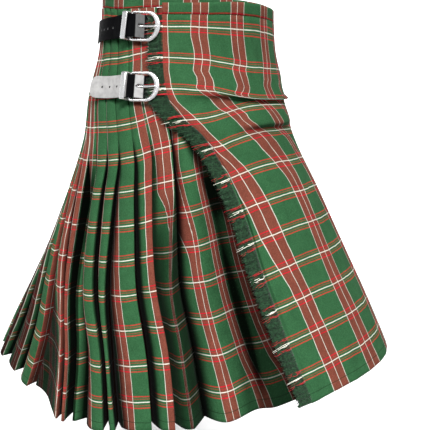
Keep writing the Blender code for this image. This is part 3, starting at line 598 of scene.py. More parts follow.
def unrest(station, cloth, seed):
    """Small unevenness of hanging cloth, between -1 and 1."""
    return (0.5 * np.sin(0.31 * station + 13.0 * cloth + seed)
            + 0.3 * np.sin(0.83 * station - 21.0 * cloth + 2.1 * seed)
            + 0.2 * np.sin(1.7 * station + 37.0 * cloth + 0.7 * seed))


# ---------------------------------------------------------------- the pleats
FACE_STEPS = 7              # quads across a pleat's face
WALL_STEPS = 3              # and across the layer turned in at its edge
DENT = 0.12                 # hollow of a face, as a share of the folds' depth
DEEP_DENT = 0.55            # what the dented pleat has more than that at the hem
EDGE_TURN = 0.0011          # the turn of the cloth at a pressed edge
EDGE_BACK = 0.0009          # where the layer turned in starts, behind the edge
NEXT_FACE = 0.0012          # where the next face starts, past an edge in the fell
NEXT_OPENS = 0.0033         # and how much further past it below
DENT_RUN = 0.018            # behind the dent the tartan runs on doubly from here


def pleat_key_lines(cloth):
    """The folds' depth, each pleat's edge and its fold's lean in degrees, row by row."""
    edges, leans = [], []
    for number in range(PLEATS):
        wobble = 0.22 * np.sin(9.0 * cloth + 2.3 * number) * ramp(cloth, 0.12, 0.35)
        edges.append(edge_station(number, cloth) + wobble)
        leans.append(fold_lean(number, cloth) / metres_per_degree(edges[-1], cloth))
    return read(FOLDS, "depth", cloth), edges, leans


def turned_in(number):
    """The owner's mark of the layer turned in at a pleat's edge; it also turns one back."""
    return -number - 1


def pleat_rows(cloth):
    """Stations and outs, row by row, and which pleat's face or layer owns each column."""
    depth, edges, leans = pleat_key_lines(cloth)
    opened = ramp(cloth, FELL_END, 0.250)
    stations, outs, owner = [], [], []

    def add(station, out, whose):
        stations.append(station)
        outs.append(np.broadcast_to(out, cloth.shape))
        owner.append(whose)

    shoulder, shoulder_out = np.full_like(cloth, BACK_START), PLEAT_OUT
    inner_at, inner_out = None, None
    for number in reversed(range(PLEATS)):
        edge = edges[number]
        degree = metres_per_degree(edge, cloth)
        if inner_at is not None:
            for u in (1 / 3, 2 / 3):
                add(inner_at + (shoulder - inner_at) * u,
                    inner_out + (shoulder_out - inner_out) * u, number)
        dent = DENT + (DEEP_DENT * ramp(cloth, 0.38, HEM) if number == DENTED_PLEAT else 0.0)
        middle = 0.5 * (shoulder + edge)
        end = edge - EDGE_TURN / degree
        for k in range(FACE_STEPS + 1):
            u = k / FACE_STEPS
            a, b, c = (1 - u) * (1 - 2 * u), 4 * u * (1 - u), u * (2 * u - 1)
            add(a * shoulder + b * middle + c * end,
                a * shoulder_out + b * (-dent * depth) + c * (PLEAT_OUT + 0.0002), number)
        add(edge, PLEAT_OUT + 0.0001, number)
        inner_at, inner_out = edge + leans[number], -depth
        side = np.sign(leans[number]) * np.minimum(np.abs(leans[number]) * degree, EDGE_TURN)
        add(edge + (0.0008 + side) / degree * 0.5, PLEAT_OUT - EDGE_BACK, turned_in(number))
        for k in range(1, WALL_STEPS + 1):
            u = k / WALL_STEPS
            add(edge + (inner_at - edge) * u,
                PLEAT_OUT - EDGE_BACK + (inner_out - PLEAT_OUT + EDGE_BACK) * u,
                turned_in(number))
        if number:
            ahead = edges[number - 1] - edge
            shoulder = edge + np.minimum(np.maximum(leans[number], 0.0)
                                         + (NEXT_FACE + NEXT_OPENS * opened) / degree, 0.6 * ahead)
            shoulder_out = -0.5 * depth * opened + (PLEAT_OUT - CLOTH) * (1 - opened)
    return np.array(stations).T, np.array(outs).T, np.array(owner)


def taken_in(run, number, cloth):
    """The distance over the tartan for a run over the cloth from a pleat's edge.

    Low on the last pleat the double band is drawn together into its fold, and behind
    the dent the next band comes sooner.
    """
    if number == DENTED_PLEAT:
        return np.where(run < -DENT_RUN, 2.0 * run + DENT_RUN, run)
    if number != 0:
        return run
    squeeze = 1.0 + 9.0 * ramp(cloth, 0.285, 0.400)
    band = 2 * BAND_HALF
    beyond = -band + run + band / squeeze
    return np.where(run >= 0, run, np.where(-run * squeeze < band, run * squeeze, beyond))


def pleat_shade(out, inner, down, owner):
    """How much shade is painted on each point of the pleats, from 0 to 1."""
    sunk = (-out + PLEAT_OUT) / (inner + PLEAT_OUT)
    # Painted shade deep in the folds, below the fell.
    depth = ramp(sunk, 0.10, 0.38) * ramp(down, FELL_END, 0.225)
    # Painted shade on the last pleat's face and on the layer turned in at its edge, low down.
    shaded = 0.74 * ramp(down, 0.27, 0.38) * ramp(sunk, -0.5, 0.1)
    of_last = np.isin(owner, (0, turned_in(0)))
    depth = np.where(of_last, np.maximum(0.6 * depth, shaded), depth)
    # Painted shade on the layers turned in at the edges, in the fell.
    behind = owner < 0
    depth[:, behind] = np.maximum(depth[:, behind], 0.8 * (1 - ramp(down, 0.17, 0.19)))
    # Painted shade on the faces that lie back.
    for number, shade in SHADED_PLEATS.items():
        face = owner == number
        depth[:, face] = np.maximum(depth[:, face], shade * ramp(down, 0.20, 0.27))
    # Less painted shade on the dented pleat and on the layer turned in at the next pleat's edge.
    for mark, most in ((turned_in(DENTED_PLEAT + 1), 0.70), (DENTED_PLEAT, 0.86)):
        depth[:, owner == mark] = np.minimum(depth[:, owner == mark], most)
    return depth


def pleat_setts(cloth, points, owner):
    """The place in the repeat at both sides of each quad, counted from its pleat's edge."""
    step = np.linalg.norm(np.diff(points[..., :2], axis=1), axis=2)
    length = np.concatenate([np.zeros((len(cloth), 1)), np.cumsum(step, axis=1)], axis=1)
    fell = ramp(cloth, 0.16, 0.36)
    near, far = np.zeros_like(step), np.zeros_like(step)
    for column, mark in enumerate(owner[1:]):
        number = max(mark, turned_in(mark))
        show = PLEAT_SHOWS[number]
        at_edge = show.fell + (show.hem - show.fell) * fell
        if mark < 0 and number in WALL_SHOWS:
            at_edge = WALL_SHOWS[number]
        zero = length[:, np.flatnonzero(owner == turned_in(number))[0] - 1]
        near[:, column], far[:, column] = (
            at_edge + taken_in(length[:, side] - zero, number, cloth)
            for side in (column, column + 1))
    return near, far


def make_pleats(sizes, cloth_material):
    """The pleated back, from the left hip round to the last pleat on the right."""
    cloth = np.linspace(SEAM + GAP, HEM, sizes.rows_of_pleats)
    station, out, owner = pleat_rows(cloth)
    down = cloth[:, None]
    inner = read(FOLDS, "depth", down)
    # Painted shade on the pleats, kept as each corner's attribute.
    depth = pleat_shade(out, inner, down, owner)
    sunk_face = np.isin(owner, (SUNK_PLEAT, turned_in(SUNK_PLEAT)))
    out = out - 0.010 * sunk_face * ramp(down, 0.21, 0.30)
    out = out - 0.004 * ramp(-out / inner, 0.4, 1.0) * ramp(down, 0.175, 0.225)
    out = out - read(UNDER_HANG, "sink", station) * ramp(down, 0.36, HEM)
    out = out + 0.0007 * unrest(station, down, 1.0) * ramp(down, 0.15, 0.40)
    points = place(station, under_drop(station, down), out)
    mesh = grid_mesh("pleats_cloth", points, *pleat_setts(cloth, points, owner),
                     cloth + TOP_OF_CLOTH, depth)
    piece = cloth_object("pleats_cloth", mesh, CLOTH, cloth_material)
    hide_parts("pleats")
    return piece


# ---------------------------------------------------------------- the aprons
def under_row(drop, columns):
    """Stations and outs over the under apron, finely, with its first part in soft waves."""
    edge = edge_station(0, drop)
    degree = metres_per_degree(edge, drop)
    seam = edge + fold_lean(0, drop) / degree + (2 * GAP + CLOTH) / degree
    low = ramp(drop, WAVE_TOP - 0.12, HEM)
    deep = -read(FOLDS, "depth", drop)
    tuck = 0.0024 + 0.0040 * ramp(drop, 0.175, 0.225)
    first_at = seam - 0.0075 / degree       # the sheet starts tucked in behind the pleats
    keys = [first_at, seam - CLOTH / degree, seam + CLOTH / degree]
    outs = [deep - tuck, deep - tuck, deep - 0.4 * tuck]
    for wave in UNDER_WAVES:
        keys.append(wave.station_top + low * (wave.station_hem - wave.station_top))
        outs.append(-(wave.depth_top + low * (wave.depth_hem - wave.depth_top)) - CLOTH)
    start, count = keys[-1], int((UNDER_END - WAVES_END) / STATION_STEP)
    for k in range(1, count + 1):
        keys.append(start + (UNDER_END - start) * k / count)
        outs.append(UNDER_OUT - 0.003 * low + 0.0025 * low * math.cos(k * 1.7))
    in_waves = columns // 2
    station = np.concatenate([np.linspace(first_at, WAVES_END, in_waves, endpoint=False),
                              np.linspace(WAVES_END, UNDER_END, columns - in_waves)])
    return seam, station, read(table("station out", *zip(keys, outs)), "out", station)


def make_under_apron(sizes, cloth_material):
    """The under apron, from its seam inside the last pleat to its free edge."""
    cloth = np.linspace(SEAM + GAP, HEM, sizes.rows_of_aprons)
    rows, setts, painted_shades = [], [], []
    for down in cloth:
        seam, station, out = under_row(down, sizes.columns_of_aprons)
        rows.append(place(station, under_drop(station, down), out))
        setts.append(sett_of_under(station, down, seam))
        # Painted shade: darker in the second valley and behind the last pleat's edge, and a painted
        # shadow of the outer apron beside its fringe.
        valley_shade = 0.30 * ramp(-out, 0.0080, 0.0150) * ramp(station, 29.0, 33.0)
        shade_behind_edge = (1 - ramp(station - seam, 0.5, 3.5)) * ramp(-out, 0.004, 0.012)
        fringe = read(FREE_EDGE, "station", down) - EDGE_DEGREES
        close = (0.95 - 0.45 * ramp(down, 0.29, 0.36)) * ramp(down, 0.19, 0.22)
        overhang_shadow = (close * ramp(station, fringe - 6.5, fringe - 3.0)
                    + 0.35 * ramp(station, fringe - 14.0, fringe - 8.0) * ramp(down, 0.27, 0.34))
        painted_shades.append(np.clip(valley_shade + shade_behind_edge + overhang_shadow, 0.0, 1.0)
                      * (1 - ramp(station, 60, 70)))
    piece = sheet_of_rows("under_apron_cloth", rows, setts, cloth + TOP_OF_CLOTH, CLOTH,
                          cloth_material, np.array(painted_shades))
    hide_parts("under_apron")
    return piece


def make_outer_apron(sizes, cloth_material):
    """The outer apron, with its fold, a second smaller one under it and soft troughs, with shade
    painted under its folds.
    """
    starts = [SEAM + GAP] + [reached for reached, _ in APRON_ROWS]
    stretches = [np.linspace(start, reached, count, endpoint=False)
                 for start, (reached, count) in zip(starts, APRON_ROWS)]
    cloth = np.concatenate([*stretches, np.linspace(starts[-1], HEM, sizes.rows_of_aprons - 40)])
    rows, setts, painted_shades = [], [], []
    along = np.linspace(0.0, 1.0, sizes.columns_of_aprons)
    for down in cloth:
        edge = read(FREE_EDGE, "station", down)
        end = LEFT_HIP - (GAP + 0.0001) / metres_per_degree(LEFT_HIP, down)
        station = edge + (end - edge) * along**1.15
        out = apron_out(station, down) + 0.0008 * unrest(station, down, 4.0)
        roll = between(station, *ROLL_STATIONS)
        beside = between(station, *TROUGH_STATIONS)
        out = out + 0.0068 * roll * between(down, 0.160, 0.206, 0.208, 0.221)
        out = out - 0.0020 * roll * between(down, 0.208, 0.222, 0.222, 0.250)
        out = out - 0.0050 * beside * between(down, 0.085, 0.120, 0.122, 0.136)
        sag = 0.004 * roll * between(down, 0.180, 0.208, 0.208, 0.232)
        rows.append(place(station, apron_drop(station, down) + sag, out))
        setts.append(sett_of_apron(station, down))
        # Painted shadow under the first fold's lip and under the second fold, and a thin dark line
        # 4 mm in from the free edge.
        first = ramp(station, 24, 44) * between(down, 0.1255, 0.1300, 0.133, 0.152)
        second = roll * between(down, 0.207, 0.214, 0.217, 0.240)
        in_from_edge = (station - edge) * metres_per_degree(station, down)
        line_in_from_edge = np.exp(-((in_from_edge - 0.0040) / 0.0007)**2) * ramp(down, 0.10, 0.14)
        painted_shades.append(np.clip(0.18 * first + 0.30 * second + 0.8 * line_in_from_edge, 0.0, 1.0))
    piece = sheet_of_rows("outer_apron_cloth", rows, setts, cloth + TOP_OF_CLOTH, CLOTH,
                          cloth_material, np.array(painted_shades))
    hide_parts("outer_apron")
    return piece


# ---------------------------------------------------------------- the waistband
BACK_BAND_OUT = -0.0016     # the waistband round the back
BACK_BAND_MIDDLE = 5.8      # station of a double band's middle on it
APRON_BAND_SHIFT = 0.0012   # the outer apron's band against the cloth under it
BAND_ROWS = 5


def band_grid(name, station, drop, out, sett, node, material):
    """A stretch of the waistband, from the rim down to its seam."""
    levels = np.linspace(0.0, SEAM - GAP, BAND_ROWS)
    rows = [place(station, drop(station, level), out(station, level)) for level in levels]
    piece = sheet_of_rows(name, rows, [sett] * len(levels), levels + BAND_COLOURS_FROM,
                          BAND, material)
    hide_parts(node)
    return piece


def back_band_out(station, _):
    """The waistband's out round the back, going in under the outer apron at the front."""
    return BACK_BAND_OUT + (UNDER_OUT - BACK_BAND_OUT) * ramp(station, 2.0, 12.0)


def make_waistbands(material):
    """The waistband of the back and under apron, and the one of the outer apron."""
    station = np.linspace(BACK_START, UNDER_END, 230)
    steps = np.linalg.norm(np.diff(place(station, 0.0, 0.0), axis=0), axis=1)
    run = np.concatenate([[0.0], np.cumsum(steps)])
    back = band_grid("waistband_back_cloth", station, under_drop, back_band_out,
                     run - np.interp(BACK_BAND_MIDDLE, station, run), "waistband_back", material)
    station = np.linspace(read(FREE_EDGE, "station", 0.0), LEFT_HIP - 0.15, 150)
    front = band_grid("waistband_apron_cloth", station, apron_drop, apron_out,
                      sett_of_apron(station, 0.0) - APRON_BAND_SHIFT, "waistband_apron", material)
    return back, front


# ---------------------------------------------------------------- the frayed edge
# Tufts where the tartan's lines end: offset from a line, strands and their thickness.
TUFTS = ((0.0, 3, 0.00048), (-0.0074, 3, 0.00048), (0.0074, 3, 0.00048),
         (-0.0042, 1, 0.0004), (0.0042, 1, 0.0004))


def edge_frames(cloth):
    """The outer apron's free edge: points, the way off the cloth, and outwards."""
    rows = []
    for down in cloth:
        edge = read(FREE_EDGE, "station", down)
        station = np.array([edge, edge + 1.5])
        drop, out = apron_drop(station, down), apron_out(station, down)
        points = place(station, drop, out)
        outwards = place(station[:1], drop[:1], out[:1] + 1.0)[0] - points[0]
        away = (points[0] - points[1]) / np.linalg.norm(points[0] - points[1])
        rows.append(np.concatenate([points[0], away, outwards]))
    return np.array(rows)


def fringe_spread(cloth):
    """How far the loosened threads reach past their backing; most where the edge slants."""
    return FRINGE_REACH * (1.0 + 0.50 * between(cloth, 0.112, 0.145, 0.180, 0.225))


def fringe_mat(frames, known, rng):
    """The thick of the fringe: a strip of matted threads with an uneven edge."""
    cloth = np.linspace(known[0], known[-1], 620)
    at = np.array([np.interp(cloth, known, frames[:, n]) for n in range(9)]).T
    across = np.linspace(0.0, 1.0, 9)
    teeth = 0.5 + 0.5 * np.sin(cloth * 2 * math.pi / 0.0042 + 2.0 * np.sin(cloth * 90.0))
    width = fringe_spread(cloth) * (0.72 + 0.14 * teeth + rng.uniform(-0.05, 0.05, len(cloth)))
    width += FRINGE_BACKING
    away = -MAT_IN + (width + MAT_IN)[:, None] * across
    tangle = rng.normal(0.0, 0.00022, (len(cloth), len(across))) * across
    out = -FRINGE_DROOP * across**1.3 + tangle
    slip = 0.0018 * across * np.sin(cloth * 2 * math.pi / 0.0095)[:, None]
    spot, way, outwards = at[:, None, :3], at[:, None, 3:6], at[:, None, 6:9]
    points = (spot + away[..., None] * way + out[..., None] * outwards
              + slip[..., None] * np.cross(way, outwards))
    flat = np.full((len(cloth), len(across) - 1), WOOL_SHOWS)
    return grid_mesh("apron_fringe_mat", points, flat, flat,
                     np.full(len(cloth), 0.5 * WEFT))


Thread = namedtuple("Thread", "cloth pull length lift curl thick loop shade")


def add_thread(build, colour, frames, known, thread):
    """One thread: a slim three-sided tube that runs off the edge, pulled and curled."""
    rings = []
    for i in range(6):
        u = i / 5.0
        at = [np.interp(thread.cloth + thread.pull * u**1.5, known, frames[:, n])
              for n in range(9)]
        spot, away, outwards = np.array(at[:3]), np.array(at[3:6]), np.array(at[6:9])
        reach = -ROOT_IN + (thread.length + ROOT_IN) * u * (1 - 0.35 * thread.loop * u)
        out = (thread.lift - FRINGE_DROOP * u + thread.curl * math.sin(3.0 * math.pi * u)
               + 0.004 * thread.loop * math.sin(math.pi * u))
        centre = spot + reach * away + out * outwards
        down = np.cross(away, outwards)
        size = thread.thick * (1.0 - 0.65 * u**2)
        rings.append([build.verts.new(centre + size * (math.cos(t) * down
                                                       + math.sin(t) * outwards))
                      for t in (0.5 + 2.094 * n for n in range(3))])
    faces = [build.faces.new(rings[0][::-1]), build.faces.new(rings[-1])]
    for a, b in zip(rings, rings[1:]):
        faces += [build.faces.new((a[n], a[(n + 1) % 3], b[(n + 1) % 3], b[n]))
                  for n in range(3)]
    for face in faces:
        for loop in face.loops:
            loop[colour].uv = (WOOL_SHOWS, thread.shade)


def make_fringe(sizes, material):
    """Loose weft threads along the free edge, over a mat of shorter ones, with tufts."""
    known = np.linspace(SEAM + 0.001, HEM - 0.001, 220)
    frames = edge_frames(known)
    rng = np.random.default_rng(7)
    mat = in_scene("apron_fringe_mat", fringe_mat(frames, known, rng))
    mat.modifiers.new("wall", "SOLIDIFY").thickness = MAT_THICK
    settle(mat)
    build = bmesh.new()
    build.from_mesh(mat.data)
    bpy.data.objects.remove(mat, do_unlink=True)
    colour = build.loops.layers.uv["tartan"]
    count = sizes.threads_of_fringe
    for k in range(count):
        cloth = known[0] + (known[-1] - known[0]) * (k + rng.uniform(0, 1)) / count
        clump = round(cloth / CLUMPS_APART) * CLUMPS_APART
        add_thread(build, colour, frames, known, Thread(
            cloth=cloth, pull=0.45 * (clump - cloth) + rng.normal(0.0, 0.0012),
            length=fringe_spread(cloth) * rng.uniform(0.75, 1.05) + FRINGE_BACKING,
            lift=rng.uniform(0.0002, 0.0011), curl=rng.normal(0.0, 0.0005),
            thick=rng.uniform(0.00020, 0.00036), loop=0.0, shade=0.5 * WEFT))
    for line in range(1, 13):
        for offset, strands, thick in TUFTS:
            for strand in range(strands):
                cloth = line * WEFT + offset - TOP_OF_CLOTH + 0.0009 * (strand - 1)
                if known[0] < cloth < known[-1]:
                    add_thread(build, colour, frames, known, Thread(
                        cloth=cloth, pull=rng.uniform(0.0005, 0.0050),
                        length=fringe_spread(cloth) * rng.uniform(0.75, 1.15) + FRINGE_BACKING,
                        lift=0.0010, curl=rng.normal(0.0, 0.0013), thick=thick,
                        loop=rng.choice([0.0, 0.0, 1.0]), shade=line * WEFT + offset))
    bmesh.ops.recalc_face_normals(build, faces=build.faces)
    piece = dressed("apron_fringe_threads", finished(build, "apron_fringe_threads"), material)
    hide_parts("apron_fringe")


# ---------------------------------------------------------------- straps
def hip_frame(strap, away, out, to_away, to_out):
    """Axes on the hip at a distance past the bar: x to another such place, z outwards."""
    degree = metres_per_degree(strap.bar, strap.drop)
    station, far = strap.bar + away / degree, strap.bar + to_away / degree
    drop = strap.drop - out * spread(station, strap.drop)
    here = Vector(place(station, drop, out))
    along = Vector(place(far, strap.drop - to_out * spread(far, strap.drop), to_out)) - here
    along.normalize()
    up = here - Vector(place(station, drop + DROP_PITCH, out))
    outwards = along.cross(up).normalized()
    up = outwards.cross(along).normalized()
    turn = Matrix((along, up, outwards)).transposed().to_4x4()
    turn.translation = here
    return turn


def buckle_frame(strap):
    """Axes at the middle of the bar: x towards the far end of the frame, z outwards."""
    level = hip_frame(strap, 0.0, BUCKLE_OUT, BUCKLE_WIDTH, BUCKLE_FAR_OUT)
    return level @ Matrix.Rotation(math.radians(-strap.slant), 4, "Z")


def strap_line(strap):
    """Middle line of a strap as stations and outs, ending in its free tip."""
    degree = metres_per_degree(strap.bar, strap.drop)
    line = [(strap.bar + way.past_bar / degree, way.out) for way in STRAP_WAY]
    start, out = line[-1]
    steps = 8 if strap.tip_out < 0.005 else 5
    for k in range(1, steps + 1):
        u = k / steps
        line.append((start + (strap.tip_station - start) * u,
                     STRAP_LOW + (out - STRAP_LOW) * (1 - u)**3
                     + (strap.tip_out - STRAP_LOW) * u**3))
    return np.array(line).T


def strap_surface(strap):
    """A function giving points on the strap's middle surface, and the strap's length."""
    station, out = strap_line(strap)
    middle = place(station, strap.drop, out)
    lengths = np.concatenate([[0], np.cumsum(np.linalg.norm(np.diff(middle, axis=0), axis=1))])
    fine = np.linspace(0.0, lengths[-1], 400)
    kernel = np.hanning(15)
    kernel /= kernel.sum()

    def softened(values):
        padded = np.pad(np.interp(fine, lengths, values), 7, mode="reflect", reflect_type="odd")
        return np.convolve(padded, kernel, mode="valid")

    smooth_station, smooth_out = softened(station), softened(out)
    degree = metres_per_degree(strap.bar, strap.drop)

    def spot(mark, across):
        at = np.interp(mark, fine, smooth_station)
        height = np.interp(mark, fine, smooth_out)
        swung = max(0.0, at - strap.bar) * degree * math.tan(math.radians(strap.slant))
        swung -= height * spread(at, strap.drop)
        return place(at, strap.drop + swung + across, height)

    return spot, lengths[-1]


def cutter(build, axes):
    """A build as an object to cut with, set on the given axes."""
    bmesh.ops.transform(build, matrix=axes, verts=build.verts)
    return in_scene("cutter", finished(build, "cutter"))


def round_cutter(axes, radius, height):
    """A rod along the axes' z."""
    build = bmesh.new()
    bmesh.ops.create_cone(build, cap_ends=True, segments=14, radius1=radius,
                          radius2=radius, depth=height)
    return cutter(build, axes)


def block_cutter(axes, size):
    """A block with its middle on the axes' own."""
    build = bmesh.new()
    bmesh.ops.create_cube(build, size=1.0)
    bmesh.ops.scale(build, vec=size, verts=build.verts)
    return cutter(build, axes)


def punch(piece, tools):
    """Cut the tools' shapes out of a piece and apply its modifiers."""
    for tool in tools:
        hole = piece.modifiers.new("hole", "BOOLEAN")
        hole.operation = "DIFFERENCE"
        hole.solver = "EXACT"
        hole.object = tool
    settle(piece)
    for tool in tools:
        bpy.data.objects.remove(tool, do_unlink=True)


def settle(piece):
    """Apply a piece's modifiers to its mesh."""
    graph = bpy.context.evaluated_depsgraph_get()
    mesh = bpy.data.meshes.new_from_object(piece.evaluated_get(graph))
    piece.modifiers.clear()
    piece.data = mesh


def make_strap(strap, material, node):
    """A strap with a rounded tip, punched with its holes and with a slot for the prong."""
    spot, total = strap_surface(strap)
    marks = np.concatenate([np.linspace(0.0, total - TIP, 110, endpoint=False),
                            total - TIP * np.cos(np.linspace(0.0, math.pi / 2, 14))])
    across = np.linspace(-1.0, 1.0, 15)
    rows = []
    for mark in marks:
        half = STRAP_WIDTH / 2
        to_tip = total - mark
        if to_tip < TIP:
            half *= 0.30 + 0.70 * math.sqrt(max(0.0, 1 - (1 - to_tip / TIP)**2))
        rows.append([spot(mark, side * half) for side in across])
    piece = sheet_of_rows("strap_%s_leather" % strap.name, rows,
                          np.zeros((len(marks), len(across))), marks, STRAP_THICK, material)
    round_edge = piece.modifiers.new("rounded_edge", "BEVEL")
    round_edge.width = STRAP_EDGE
    round_edge.segments = 2
    round_edge.limit_method = "ANGLE"
    slot_middle = buckle_frame(strap) @ Matrix.Translation((SLOT_AT, 0.0, 0.0))
    tools = []
    for mark in STRAP_HOLES[strap.name]:
        here, beyond = Vector(spot(mark, 0.0)), Vector(spot(mark + 0.002, 0.0))
        up = Vector(spot(mark, -0.003)) - here
        outwards = (beyond - here).cross(up).normalized()
        axes = outwards.to_track_quat("Z", "Y").to_matrix().to_4x4()
        axes.translation = here
        tools.append(round_cutter(axes, HOLE_RADIUS, PUNCH_DEPTH))
    tools.append(block_cutter(slot_middle, (*SLOT_SIZE, 2 * PUNCH_DEPTH)))
    punch(piece, tools)
    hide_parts(node)


# ---------------------------------------------------------------- buckles
def swept(name, rings, closed, material):
    """A bar swept through rings of points; an open one has its ends filled."""
    rings = np.array(rings)
    points = np.concatenate([rings, rings[:, :1]], axis=1)
    if closed:
        points = np.concatenate([points, points[:1]], axis=0)
    build = laid_grid(points)
    bmesh.ops.remove_doubles(build, verts=build.verts, dist=1e-6)
    if not closed:
        ends = [edge for edge in build.edges if edge.is_boundary]
        bmesh.ops.holes_fill(build, edges=ends, sides=0)
    bmesh.ops.recalc_face_normals(build, faces=build.faces)
    return dressed(name, finished(build, name), material)


def buckle_outline():
    """The D of the frame, as middle, way outwards and width: a half oval, arms and a bar."""
    half = BUCKLE_HEIGHT / 2
    arm = BUCKLE_WIDTH - BUCKLE_ROUND
    corner = BUCKLE_CORNER
    curve = [(math.cos(a), math.sin(a)) for a in np.radians(np.linspace(90, -90, 37))]
    bend = [(math.cos(a), math.sin(a)) for a in np.radians([0, 22, 45, 68, 90])]
    outline = [((arm + BUCKLE_ROUND * c, half * s), (c, s), 1.0 + 1.1 * max(0.0, c))
               for c, s in curve]
    outline += [((arm * u, -half), (0.0, -1.0), 1.0) for u in (0.8, 0.55, 0.3)]
    outline += [((corner * (1 - s), -half + corner * (1 - c)), (-s, -c), 1.0) for c, s in bend]
    outline += [((0.0, half * u), (-1.0, 0.0), 1.0) for u in (-0.55, -0.2, 0.2, 0.55)]
    outline += [((corner * (1 - c), half - corner * (1 - s)), (-c, s), 1.0) for c, s in bend]
    outline += [((arm * u, half), (0.0, 1.0), 1.0) for u in (0.3, 0.55, 0.8)]
    return outline


def make_buckle(strap, metal):
    """The D-shaped frame of flattened wire, widest at its round end."""
    axes = buckle_frame(strap)
    rings = []
    for middle, sideways, width in buckle_outline():
        ring = []
        for n in range(WIRE_SIDES):
            turn = 2 * math.pi * n / WIRE_SIDES
            off = 1.15 * WIRE * width * (math.cos(turn) + 0.15)
            ring.append(axes @ Vector((middle[0] + sideways[0] * off,
                                       middle[1] + sideways[1] * off, WIRE * math.sin(turn))))
        rings.append(ring)
    piece = swept("buckle_%s_frame" % strap.name, rings, True, metal)
    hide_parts("buckle_" + strap.name)


def make_keeper(strap, metal):
    """A flat band right round the strap and the chape, just behind the bar."""
    width, height, depth = KEEPER_SIZE
    lean = Matrix.Rotation(math.radians(-strap.slant), 4, "Z")
    axes = hip_frame(strap, KEEPER_AT, 0.0, KEEPER_AT + 0.002, 0.0) @ lean
    half_y, half_z = ((side - KEEPER_WALL) / 2 - KEEPER_CORNER for side in (height, depth))
    rings = []
    for quarter, (sign_y, sign_z) in enumerate(((1, 1), (-1, 1), (-1, -1), (1, -1))):
        for a in np.radians(np.linspace(0, 90, 6)) + quarter * math.pi / 2:
            y = sign_y * half_y + KEEPER_CORNER * math.cos(a)
            z = sign_z * half_z + KEEPER_CORNER * math.sin(a) + depth / 2 + KEEPER_LOW
            rings.append([axes @ Vector((side * width / 2,
                                         y + math.cos(a) * grow * KEEPER_WALL / 2,
                                         z + math.sin(a) * grow * KEEPER_WALL / 2))
                          for side, grow in KEEPER_SECTION])
    piece = swept("keeper_%s_band" % strap.name, rings, True, metal)
    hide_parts("keeper_" + strap.name)


def make_prong(strap, metal):
    """The prong, bent from round the bar down into its hole and up on the far end."""
    axes = buckle_frame(strap)
    first, last = PRONG_WAY[0].past_bar, PRONG_WAY[-1].past_bar
    rings = []
    for past in np.linspace(first, last, 30):
        height, half = read_row(PRONG_WAY, past)
        to_tip = min(1.0, (last - past) / 0.0015 + 0.25)
        rings.append([axes @ Vector((past, half * to_tip * math.cos(a),
                                     height + PRONG_THICK * to_tip * math.sin(a)))
                      for a in np.radians(np.arange(0, 360, 30))])
    piece = swept("prong_%s_pin" % strap.name, rings, False, metal)
    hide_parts("prong_" + strap.name)


# ---------------------------------------------------------------- materials
TWILL = 0.0017              # from rib to rib
STITCHES_UP = 0.0120        # the line of stitches over the hem
STITCH_COLOUR = (0.01, 0.025, 0.012, 1.0)
PAINTED_ZONES_LENGTH = 0.24          # longer than any strap


def new_material(name):
    """A material, with its node tree and its shader."""
    material = bpy.data.materials.new(name)
    material.use_nodes = True
    return material, material.node_tree, material.node_tree.nodes["Principled BSDF"]


def feed(tree, node, values):
    """Fill a node's inputs, by name or number: outputs are linked, plain values are set."""
    for key, value in values.items():
        if isinstance(value, bpy.types.NodeSocket):
            tree.links.new(value, node.inputs[key])
        else:
            node.inputs[key].default_value = value
    return node


def maths(tree, operation, *values):
    """The result of a Math node on numbers and outputs."""
    node = tree.nodes.new("ShaderNodeMath")
    node.operation = operation
    return feed(tree, node, dict(enumerate(values))).outputs[0]


def stripes(tree, place_in_repeat, length, strips):
    """Colours over one repeat of the tartan: strips are (end in mm, colour, weight)."""
    node = feed(tree, tree.nodes.new("ShaderNodeValToRGB"), {0: place_in_repeat})
    stops = [(0.0, strips[0])]
    for left, right in zip(strips, strips[1:]):
        stops.append(((left[0] - 0.15) / (1000 * length), left))
        stops.append(((left[0] + 0.15) / (1000 * length), right))
    stops.append((1.0, strips[-1]))
    elements = node.color_ramp.elements
    while len(elements) < len(stops):
        elements.new(0.5)
    for k, stop in enumerate(stops):
        elements[k].position = stop[0]
    for k, (_, strip) in enumerate(stops):
        elements[k].color = (*strip[1][:3], strip[2])
    return node.outputs[0], node.outputs[1]


def mixed(tree, factor, first, second):
    """Two colours mixed by a factor."""
    node = tree.nodes.new("ShaderNodeMix")
    node.data_type = "RGBA"
    return feed(tree, node, {0: factor, 6: first, 7: second}).outputs[2]


def noise(tree, scale, detail, low, high):
    """Soft noise over the object's coordinates, as a number between low and high."""
    where = tree.nodes.new("ShaderNodeTexCoord").outputs["Object"]
    cloud = feed(tree, tree.nodes.new("ShaderNodeTexNoise"),
                 {"Scale": scale, "Detail": detail, "Vector": where}).outputs["Fac"]
    return feed(tree, tree.nodes.new("ShaderNodeMapRange"), {
        "From Min": 0.3, "From Max": 0.7, "To Min": low, "To Max": high,
        "Value": cloud}).outputs["Result"]


def bump(tree, height, distance, strength):
    """The normals of a surface with a fine relief."""
    return feed(tree, tree.nodes.new("ShaderNodeBump"), {
        "Distance": distance, "Strength": strength, "Height": height}).outputs["Normal"]


def scaled_colour(tree, colour, amount):
    """A colour made lighter or darker."""
    node = tree.nodes.new("ShaderNodeVectorMath")
    node.operation = "SCALE"
    return feed(tree, node, {0: colour, "Scale": amount}).outputs[0]


def sheet_places(tree):
    """The two distances over a piece's sheet, across and down it."""
    sheet_map = tree.nodes.new("ShaderNodeUVMap")
    sheet_map.uv_map = "tartan"
    parts = tree.nodes.new("ShaderNodeSeparateXYZ")
    return feed(tree, parts, {0: sheet_map.outputs["UV"]}).outputs[:2]


